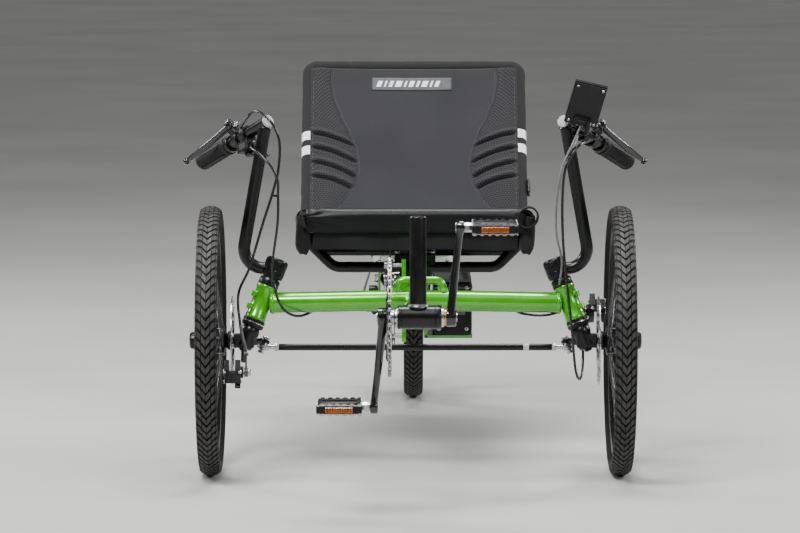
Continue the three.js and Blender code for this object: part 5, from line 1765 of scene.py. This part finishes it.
def make_grips():
    grip = Shape()
    profile = [(11.4, GRIP_START), (15.4, GRIP_START), (17.2, GRIP_START + 1.4), (17.2, GRIP_START + 7)]
    profile += [(16.2, GRIP_START + 8), (16.2, GRIP_START + 11)]
    place = GRIP_START + 12
    while place < GRIP_END - 12:
        profile += [(15.4, place), (16.4, place + 0.9), (16.4, place + 3.0), (15.4, place + 3.9)]
        place += 4.4
    profile += [
        (16.0, GRIP_END - 9), (16.8, GRIP_END - 6), (16.2, GRIP_END - 2.4), (14, GRIP_END), (0, GRIP_END),
    ]
    grip.lathe(profile, GRIP_FRONT, GRIP_AXIS, 48)
    for k in range(4):
        turn = GRIP_AXIS.cross(vec(0, 0, 1)).normalized()
        turn = Quaternion(GRIP_AXIS, math.pi / 2 * k + 0.4) @ turn
        grip.block((5, 1.6, 70), on_grip(GRIP_START + 52) + turn * 16.2, GRIP_AXIS.cross(turn), turn)
    end_ring = Shape()
    collar_on(end_ring, on_grip(GRIP_START - 5), 4.4, 15.6, GRIP_AXIS, 0.8)
    perch = Shape()
    away = (LEVER_PIVOT - on_grip(PERCH_AT)).normalized()
    collar_on(perch, on_grip(PERCH_AT), 8, 15.6, GRIP_AXIS, 1.4)
    perch.block((12, 18, 12), on_grip(PERCH_AT) + away * 19, LEVER_AXIS, away)
    for low, high in ((-11.6, -4.6), (4.8, 9.4)):
        start = LEVER_PIVOT + LEVER_AXIS * low
        perch.lathe(
            [(0, 0), (7.4, 0), (8, 0.8), (8, high - low - 0.8), (7.4, high - low), (0, high - low)], start,
            LEVER_AXIS, 28,
        )
        tab = on_grip(PERCH_AT) + away * 14 - LEVER_PIVOT
        perch.block(
            (high - low, 12, 12), LEVER_PIVOT + LEVER_AXIS * ((low + high) / 2) + tab * 0.34, LEVER_AXIS,
            away,
        )
    back = -GRIP_AXIS
    barrel = LEVER_PIVOT + back * 10 - away * 4
    trim = Shape()
    trim.lathe([(0, 0), (4.4, 0), (5, 1), (5, 9), (4, 10), (3.4, 14), (0, 14)], barrel, back, 20)
    bolt(trim, LEVER_PIVOT + LEVER_AXIS * 9.2, LEVER_AXIS, 4.6, 2.6)
    side_out = GRIP_AXIS.cross(away).normalized()
    bolt(trim, on_grip(PERCH_AT) - away * 13 + side_out * 7, side_out, 3.4, 3)
    lever = Shape()
    span = LEVER_TIP - LEVER_PIVOT
    bow = GRIP_AXIS.cross(LEVER_AXIS).normalized()
    line = smooth_line(
        [
            LEVER_PIVOT, LEVER_PIVOT + span * 0.3 - bow * 6, LEVER_PIVOT + span * 0.62 - bow * 5.4,
            LEVER_TIP - span * 0.04,
        ],
        8,
    )
    along = tangents(line)
    rings = []
    for i, point in enumerate(line):
        share = i / (len(line) - 1)
        wide = table_value([(0, 6.4), (0.2, 5.6), (0.6, 5.8), (0.85, 5.0), (1, 3.8)], share)
        thick = table_value([(0, 3.8), (0.3, 3.0), (0.8, 2.8), (1, 3.2)], share)
        across = flatten(bow, along[i])
        up = along[i].cross(across)
        ring = []
        for s in range(20):
            angle = 2 * math.pi * s / 20
            c = math.cos(angle)
            d = math.sin(angle)
            ring.append(
                point + across * (
                    thick * math.copysign(abs(c) ** 0.7, c)
                ) + up * (wide * math.copysign(abs(d) ** 0.7, d))
            )
        rings.append(ring)
    lever.rings(rings)
    lever.lathe(
        [(0, -3.9), (7.4, -3.9), (8, -3.2), (8, 3.2), (7.4, 3.9), (0, 3.9)], LEVER_PIVOT, LEVER_AXIS, 28,
    )
    lever.ball(6.2, LEVER_TIP, 24)
    for side, flip in (("right", False), ("left", True)):
        body = "steer_" + side
        shapes = [s.mirrored() if flip else s for s in (grip, end_ring, perch, trim, lever)]
        build("grip_sleeve_" + side, shapes[0], GRIP, body, ["grip_" + side])
        build("grip_collar_" + side, shapes[1], ALLOY, body)
        build("perch_" + side, shapes[2], ALLOY, body, ["brake_perch_" + side], bevel=0.9)
        build("perch_trim_" + side, shapes[3], STEEL, body)
        build(
            "lever_blade_" + side, shapes[4], GLOSS, "brake_lever_" + side, ["brake_lever_" + side], angle=50,
        )


def make_shifter():
    at = on_grip(70)
    below = flatten(vec(0.1, -0.35, -1), GRIP_AXIS)
    out = below.cross(GRIP_AXIS).normalized()
    shifter = Shape()
    collar_on(shifter, at, 7, 15.4, GRIP_AXIS)
    shifter.block((35, 29, 18), at + below * 23.6, GRIP_AXIS, out)
    shifter.block((22, 20, 8), at + below * 13, GRIP_AXIS, out)
    shifter.lathe(
        [(0, 0), (13.2, 0), (13.6, 0.8), (13.6, 2), (12.4, 3), (0, 3)], at + below * 31.6, below, 36,
    )
    build("shifter_body", shifter, PLASTIC, "steer_right", ["shifter"], bevel=2.2)
    dial = Shape()
    dial.block((18, 0.8, 10), at + below * 23.6 - out * 14.7, GRIP_AXIS, out)
    dial.lathe(
        [(0, -5), (4.6, -5), (5, -4), (5, 4), (4, 5), (0, 5)], at + below * 24 - GRIP_AXIS * 22, GRIP_AXIS,
        20,
    )
    build("shifter_window", dial, GREY_ALLOY, "steer_right", bevel=0.3)
    paddle = Shape()
    start = at + below * 35.2
    paddle.lathe([(0, 0), (8, 0), (8.4, 0.8), (8.4, 5.2), (7.6, 6), (0, 6)], start, below, 28)
    blade = start + below * 3
    outline = [(-6, 2), (-6.6, 22), (-8, 34), (-5, 39.6), (5, 39.6), (8, 34), (6.6, 22), (6, 2)]
    paddle.plate(outline, 4.4, blade, GRIP_AXIS, out)
    build("shifter_paddle", paddle, PLASTIC, "shift_paddle", ["shift_paddle"], bevel=1.2)


def make_display():
    def flipped(v):
        return vec(-v.x, v.y, v.z)

    axis = flipped(GRIP_AXIS)
    up = vec(0.24, -0.36, 0.9).normalized()
    across = flatten(UP_X, up)
    middle = vec(304, FRONT_Y - 27, 671)
    back = up.cross(across).normalized()
    slab = Shape()
    slab.block((59, 83, 8), middle + back * 1.6, across, up)
    slab.block((55, 79, 4), middle + back * -3.6, across, up)
    slab.block((34, 46, 3), middle + back * 6.4 - up * 2, across, up)
    pivot = middle - up * 30 - back * 13
    behind = -back
    stalk = Shape()
    stalk.block((30, 12, 9), middle - up * 29 - back * 8, across, up)
    stalk.rod(4.8, pivot - across * 7, pivot + across * 7, 24, 0.6)
    screws = Shape()
    for a, b in ((-23, 34), (23, 34), (-23, -34), (23, -34)):
        bolt(screws, middle + across * a + up * b - back * 5.6, behind, 2.4, 1.0)
    glass = Shape()
    glass.block((52, 70, 0.8), middle + back * 6.2 + up * 3, across, up)
    build("display_case", slab.merged(stalk), PLASTIC, "display", ["display"], bevel=2.0)
    build("display_screws", screws, STEEL, "display")
    build("display_glass", glass, GLOSS, "display", bevel=0.3)
    stalk = Shape()
    root = flipped(on_grip(39))
    collar_on(stalk, root, 6, 15.4, axis)
    elbow = pivot + across * 13 - up * 20 - back * 2
    to_elbow = flatten(elbow - root, axis)
    stalk.pipe(bent([root + to_elbow * 13, elbow, pivot + across * 13], 10, 6), 4.6, 24)
    stalk.rod(5, pivot + across * 7.6, pivot + across * 15, 24, 0.6)
    build("display_stalk", stalk, ALLOY, "steer_left", ["display_mount"], bevel=0.5)
    mount_screw = Shape()
    bolt(mount_screw, pivot + across * 15, across, 3.6, 2.4)
    bolt(mount_screw, root - to_elbow * 13 + axis.cross(to_elbow) * 6, axis.cross(to_elbow), 3, 2.6)
    build("display_bolts", mount_screw, STEEL, "steer_left")
    pad_up = flatten(vec(-0.45, -0.4, 0.8), axis)
    centre = flipped(on_grip(66)) + pad_up * 23
    side = pad_up.cross(axis).normalized()
    pad = Shape()
    collar_on(pad, flipped(on_grip(66)), 7, 15.4, axis)
    pad.block((29, 33, 13), centre - pad_up * 0.4, axis, side)
    pad.block((16, 18, 10), centre - pad_up * 9, axis, side)
    build("keypad_body", pad, PLASTIC, "steer_left", ["keypad"], bevel=2.0)
    arrows = Shape()
    for shift in (-11, 11):
        arrows.block((14, 5, 1.2), centre + side * shift + pad_up * 6.4, axis, side)
    build("keypad_keys", arrows, GREY_ALLOY, "steer_left", bevel=0.4)
    button = Shape()
    button.rod(5.2, centre + pad_up * 5.5, centre + pad_up * 10.5, 28, 0.9)
    build("keypad_push", button, GREY_ALLOY, "keypad_button", ["keypad_button"])


make_bars()
make_grips()
make_shifter()
make_display()

# ------------------------------------------------------------ knuckles and callipers
CALLIPER_ARM_X = 304
LOW_FRONT = (-44, -52, -4, 34)
HIGH_REAR = (46, 50, 24, -26)


def rotor_side(x, y, z):
    return vec(x, FRONT_Y + y, WHEEL_RADIUS + z)


def knuckle_shapes(bracket_places):
    """The upright on the rider's right, and the bright screws on it."""
    metal = Shape()
    metal.lathe(
        [
            (0, -15), (12.4, -15), (14, -13.6), (15.4, -9), (15.4, 10), (17.2, 14), (17.2, 21), (15.4, 25.4),
            (0, 25.4),
        ],
        AXIS_FOOT, AXIS_UP, 44,
    )
    metal.rod(STEERER_RADIUS, on_kingpin(20), on_kingpin(150), 36)
    inner = rotor_side(-291, 0, 0)
    metal.block((35, 24, 24), rotor_side(-308.5, 0, 0))
    metal.rod(6, inner, rotor_side(-401, 0, 0), 28)
    metal.lathe([(0, -327), (11, -327), (11.4, -326), (11.4, -322), (0, -322)], rotor_side(0, 0, 0), UP_X, 36)
    eye = TIE_PIVOT + AXIS_UP * 12
    start = on_kingpin(-4) + vec(2, 4, 0)
    metal.pipe([start, start.lerp(eye, 0.5), eye], [9.4, 6.6, 5.0], 24, flat=0.62)
    metal.lathe([(0, -3), (8.8, -3), (9.5, -2.3), (9.5, 2.3), (8.8, 3), (0, 3)], eye, AXIS_UP, 32)
    line = [rotor_side(-308.4, *place) for place in [(0, 0), *bracket_places]]
    metal.pipe(bent(line, 6, 5), 5.4, 20)
    screws = Shape()
    bolt(screws, rotor_side(-291.4, 5, 5), UP_X, 4, 2.6)
    screws.lathe([(0, 0), (6.6, 0), (7, 1), (7, 4), (5, 5.4), (0, 5.4)], on_kingpin(-15), -AXIS_UP, 28)
    return metal, screws


def calliper_shapes(centre_y, centre_z, arm_y, arm_z):
    """A disc brake calliper on the rider's right: its body, bright trim, and moving arm."""
    radial = vec(0, centre_y, centre_z).normalized()
    forward = UP_X.cross(radial)
    middle = rotor_side(-328.5, centre_y, centre_z)
    body = Shape()
    for x, wide in ((-318.6, 19.4), (-338.4, 17.6)):
        outline = [(-21, -13), (-16, -15), (16, -15), (21, -13), (21, 9), (14, 15), (-14, 15), (-21, 9)]
        place = vec(x, middle.y, middle.z)
        body.plate(outline, wide * 0.5, place, forward, radial)
    body.block((27, 30, 8), middle + radial * 10.6, UP_X, forward)
    body.rod(10.8, vec(-316, middle.y, middle.z), vec(-308.6, middle.y, middle.z), 32, 1.0)
    body.rod(12.4, vec(-342, middle.y, middle.z), vec(-336, middle.y, middle.z), 32, 1.2)
    body.block((10, 11, 26), middle + radial * 3 + forward * 24 + vec(9, 0, 0), UP_X, forward)
    trim = Shape()
    trim.rod(7.6, vec(-344, middle.y, middle.z), vec(-341.6, middle.y, middle.z), 28, 0.5)
    for side in (-1, 1):
        spot = middle + forward * (side * 16) + radial * 10
        bolt(trim, vec(-314.6, spot.y, spot.z), UP_X, 3.4, 3)
        bolt(trim, vec(-342.2, spot.y, spot.z), -UP_X, 3.4, 2)
    trim.rod(3.9, vec(-309, middle.y, middle.z), vec(-298.4, middle.y, middle.z), 20, 0.5)
    trim.lathe([(0, 0), (6.4, 0), (6.4, 3.2), (5.6, 4), (0, 4)], vec(-299.6, middle.y, middle.z), UP_X, 6)
    pad = middle + radial * 1 + forward * 24 + vec(9, 0, 0)
    trim.rod(3.2, pad - radial * 15, pad + radial * 15, 16, 0.5)
    arm = Shape()
    start = vec(-CALLIPER_ARM_X, middle.y, middle.z)
    tip = start + vec(0, arm_y, arm_z)
    reach = tip - start
    side = UP_X.cross(reach.normalized())
    length = reach.length
    outline = [
        (-4, -7.6), (6, -6.6), (length, -4), (length + 4, -2), (length + 4, 2), (length, 4), (6, 6.6),
        (-4, 7.6),
    ]
    arm.plate(outline, 3.4, start, reach, side)
    arm.rod(8.6, start + vec(-3.4, 0, 0), start + vec(3.4, 0, 0), 28, 0.6)
    arm.rod(4.0, tip + vec(-4, 0, 0), tip + vec(4.6, 0, 0), 20, 0.5)
    return body, trim, arm


def make_corners():
    sides = (
        ("right", False, [(-12, -12), (-30, -34)], LOW_FRONT),
        ("left", True, [(34, 6), (43, 30)], HIGH_REAR),
    )
    for side, flip, bracket, calliper in sides:
        body = "steer_" + side
        shapes = [*knuckle_shapes(bracket), *calliper_shapes(*calliper)]
        if flip:
            shapes = [shape.mirrored() for shape in shapes]
        metal, screws, calliper_body, trim, arm = shapes
        build("upright_" + side, metal, SATIN, body, ["knuckle_" + side], bevel=1.6)
        build("upright_screws_" + side, screws, DARK_STEEL, body)
        build("calliper_body_" + side, calliper_body, ALLOY, body, ["calliper_" + side], bevel=1.0)
        build("calliper_trim_" + side, trim, STEEL, body)
        build(
            "calliper_lever_" + side, arm, GREY_ALLOY, "calliper_arm_" + side, ["calliper_arm_" + side],
            bevel=0.5,
        )
    low = HEAD_TUBE[0]
    band = Shape()
    band.lathe(
        [(19.6, low - 8.0), (20.9, low - 7.8), (20.9, low - 5.9), (19.6, low - 5.7), (19.6, low - 8.0)],
        AXIS_FOOT, AXIS_UP, 56,
    )
    build("headset_band_right", band, STEEL, "frame")
    build("headset_band_left", band.mirrored(), STEEL, "frame")


make_corners()

# ------------------------------------------------------------ battery and its bracket
def make_battery():
    case = Shape()
    case.block((72, 328, 100), vec(72, 160, 261))
    lid = Shape()
    lid.block((70, 320, 5), vec(72, 160, 313))
    lid.block((74, 330, 3), vec(72, 160, 300))
    handle = smooth_line(
        [vec(72, -38, 311), vec(72, -34, 320), vec(72, -10, 322.6), vec(72, 14, 320), vec(72, 18, 311)], 6,
    )
    lid.pipe(handle, 6.2, 16)
    build("battery_shell", case, PLASTIC, "frame", ["battery_case"], bevel=5)
    build("battery_lid", lid, GLOSS, "frame", bevel=1.4)
    screws = Shape()
    for x in (46, 98):
        for z in (222, 300):
            bolt(screws, vec(x, -4.2, z), vec(0, -1, 0), 3.4, 1.4)
    screws.rod(6, vec(109, 20, 288), vec(110.4, 20, 288), 20, 0.4)
    build("battery_screws", screws, STEEL, "frame")
    plate = Shape()
    plate.block((46, 2, 26), vec(72, -5, 262))
    for k in range(5):
        plate.block((3, 1.2, 18), vec(60 + k * 6, -6.4, 262))
    build("battery_face", plate, GREY_ALLOY, "frame", bevel=0.5)


make_battery()

# ------------------------------------------------------------ cables
def cable_line(places):
    return smooth_line([vec(x, FRONT_Y + y, z) for x, y, z in places], 9)


def cable_piece(name, places, radius, material, body=None, replaces=()):
    shape = Shape().pipe(cable_line(places), radius, 12)
    return build(name, shape, material, body, replaces, angle=80)


def make_cables():
    brake = [
        (-317, 48, 624), (-300, 28, 648), (-284, 6, 656), (-264, -18, 645), (-249, -25, 622),
        (-243, -25, 594), (-246, -24, 552), (-256, -22, 512), (-273, -18, 459), (-298, -12, 377),
        (-318, -14, 330), (-315, -34, 280), (-304, -48, 232),
    ]
    cable_piece("brake_hose_right", brake, 2.4, CABLE, "steer_right", ["cables_right"])
    tip = Shape()
    line = cable_line(brake)
    tip.pipe(line[:10], 3.2, 12)
    tip.pipe(line[-9:], 3.1, 12)
    build("brake_ends_right", tip, GREY_ALLOY, "steer_right", angle=80)
    gear = [
        (-294, 27, 596), (-296, 4, 592), (-280, -24, 582), (-258, -38, 560), (-247, -39, 536),
        (-246, -38, 512), (-247, -34, 459), (-256, -22, 392), (-257, -18, 350),
    ]
    loop = Shape().pipe(cable_line(gear), 2.3, 12)
    obj = build("gear_cable_loop", loop, CABLE, None, angle=80)
    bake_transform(obj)
    tie = Shape()
    tie.lathe(
        [(3.4, -2), (6.6, -2), (6.6, 2), (3.4, 2), (3.4, -2)], vec(-251, FRONT_Y - 29, 507), vec(0.1, 0.1, 1),
        20,
    )
    build("cable_tie_right", tie, PLASTIC, "steer_right")
    left = [
        (331, 60, 604), (326, 48, 604), (314, 8, 604), (290, -40, 596), (268, -48, 560), (262, -46, 500),
        (264, -38, 423), (271, -36, 350), (279, -36, 277), (286, -24, 205), (291, -8, 180), (297, 10, 172),
        (302, 32, 182), (304, 50, 205), (304, 68, 258),
    ]
    cable_piece("brake_hose_left", left, 2.4, CABLE, "steer_left", ["brake_cable_left"])
    wire = [
        (300, -14, 640), (292, -30, 626), (279, -48, 600), (262, -52, 560), (252, -44, 500), (252, -36, 440),
        (262, -26, 390), (258, -16, 346),
    ]
    lead = Shape().pipe(cable_line(wire), 1.9, 12)
    obj = build("display_lead", lead, CABLE_GREY, None, angle=80)
    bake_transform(obj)
    pad_wire = [(292, 8, 612), (284, -12, 596), (270, -36, 580), (258, -46, 548), (257, -48, 520)]
    cable_piece("keypad_lead", pad_wire, 1.6, CABLE_GREY, "steer_left")
    shift = [
        (-257, -18, 350), (-252, -21, 340), (-246, -25, 318), (-232, -20, 297), (-212, -4, 288),
        (-194, 18, 290), (-168, 27, 302), (-120, 28, 306), (-66, 32, 300), (-24, 60, 287), (-8, 110, 287),
        (-8, 380, 287), (-12, 750, 286), (-46, 810, 279), (-84, 880, 284), (-90, 1000, 262),
        (-101, 1100, 218),
    ]
    cable_piece("gear_cable", shift, 2.4, CABLE, "frame", ["shift_cable"])
    loose = [(176, 22, 304), (184, 16, 293), (205, 8, 289), (228, 4, 288), (246, 8, 290), (256, 10, 293)]
    cable_piece("loose_lead", loose, 2.2, CABLE, "frame")
    guides = Shape()
    for x, y in ((-8, 140), (-8, 360), (-10, 600)):
        guides.block((9, 9, 9), vec(x, FRONT_Y + y, 287))
    build("cable_guides", guides, PLASTIC, "frame", bevel=1.2)


make_cables()

# ------------------------------------------------------------ stage, light and camera
PALE = surface(
    "studio_floor", dark=(0.40, 0.395, 0.385), light=(0.46, 0.455, 0.445), rough=0.8, metal=0.0, scale=1.2,
    grain=60, grain_depth=0.08,
)


def make_stage():
    size = 60.0
    mesh = bpy.data.meshes.new("studio_floor")
    mesh.from_pydata(
        [(-size, -size, 0), (size, -size, 0), (size, size, 0), (-size, size, 0)], [], [[0, 1, 2, 3]],
    )
    mesh.materials.append(PALE)
    floor = bpy.data.objects.new("studio_floor", mesh)
    bpy.context.scene.collection.objects.link(floor)
    world = bpy.data.worlds.new("studio")
    world.use_nodes = True
    world.node_tree.nodes["Background"].inputs["Color"].default_value = (0.95, 0.97, 1.0, 1)
    world.node_tree.nodes["Background"].inputs["Strength"].default_value = 0.12
    bpy.context.scene.world = world
    target = Vector((0, -0.2, 0.3))
    lights = [
        ("key_light", (-1.3, -2.6, 3.6), 210, 1.5),
        ("fill_light", (3.0, -3.2, 2.2), 55, 1.6),
        ("top_light", (0.1, 0.2, 3.8), 150, 1.8),
        ("rim_right", (-3.2, 1.2, 2.2), 90, 1.2),
        ("rim_left", (3.2, 1.2, 2.2), 90, 1.2),
    ]
    for name, place, power, width in lights:
        data = bpy.data.lights.new(name, "AREA")
        data.energy = power
        data.shape = "RECTANGLE"
        data.size = width
        data.size_y = width * 0.6
        lamp = bpy.data.objects.new(name, data)
        lamp.location = place
        lamp.rotation_euler = (target - Vector(place)).to_track_quat("-Z", "Y").to_euler()
        bpy.context.scene.collection.objects.link(lamp)
    sun = bpy.data.lights.new("room_light", "SUN")
    sun.energy = 0.8
    sun.angle = math.radians(60)
    lamp = bpy.data.objects.new("room_light", sun)
    lamp.rotation_euler = (math.radians(18), math.radians(-8), 0)
    bpy.context.scene.collection.objects.link(lamp)
    data = bpy.data.cameras.new("camera")
    data.lens = 196.1
    data.sensor_width = 36
    data.clip_end = 100
    camera = bpy.data.objects.new("camera", data)
    camera.location = (-0.0348, -8.171, 1.157)
    camera.rotation_euler = (math.radians(90 - 5.71), 0, math.radians(-0.05))
    bpy.context.scene.collection.objects.link(camera)
    bpy.context.scene.camera = camera


make_stage()
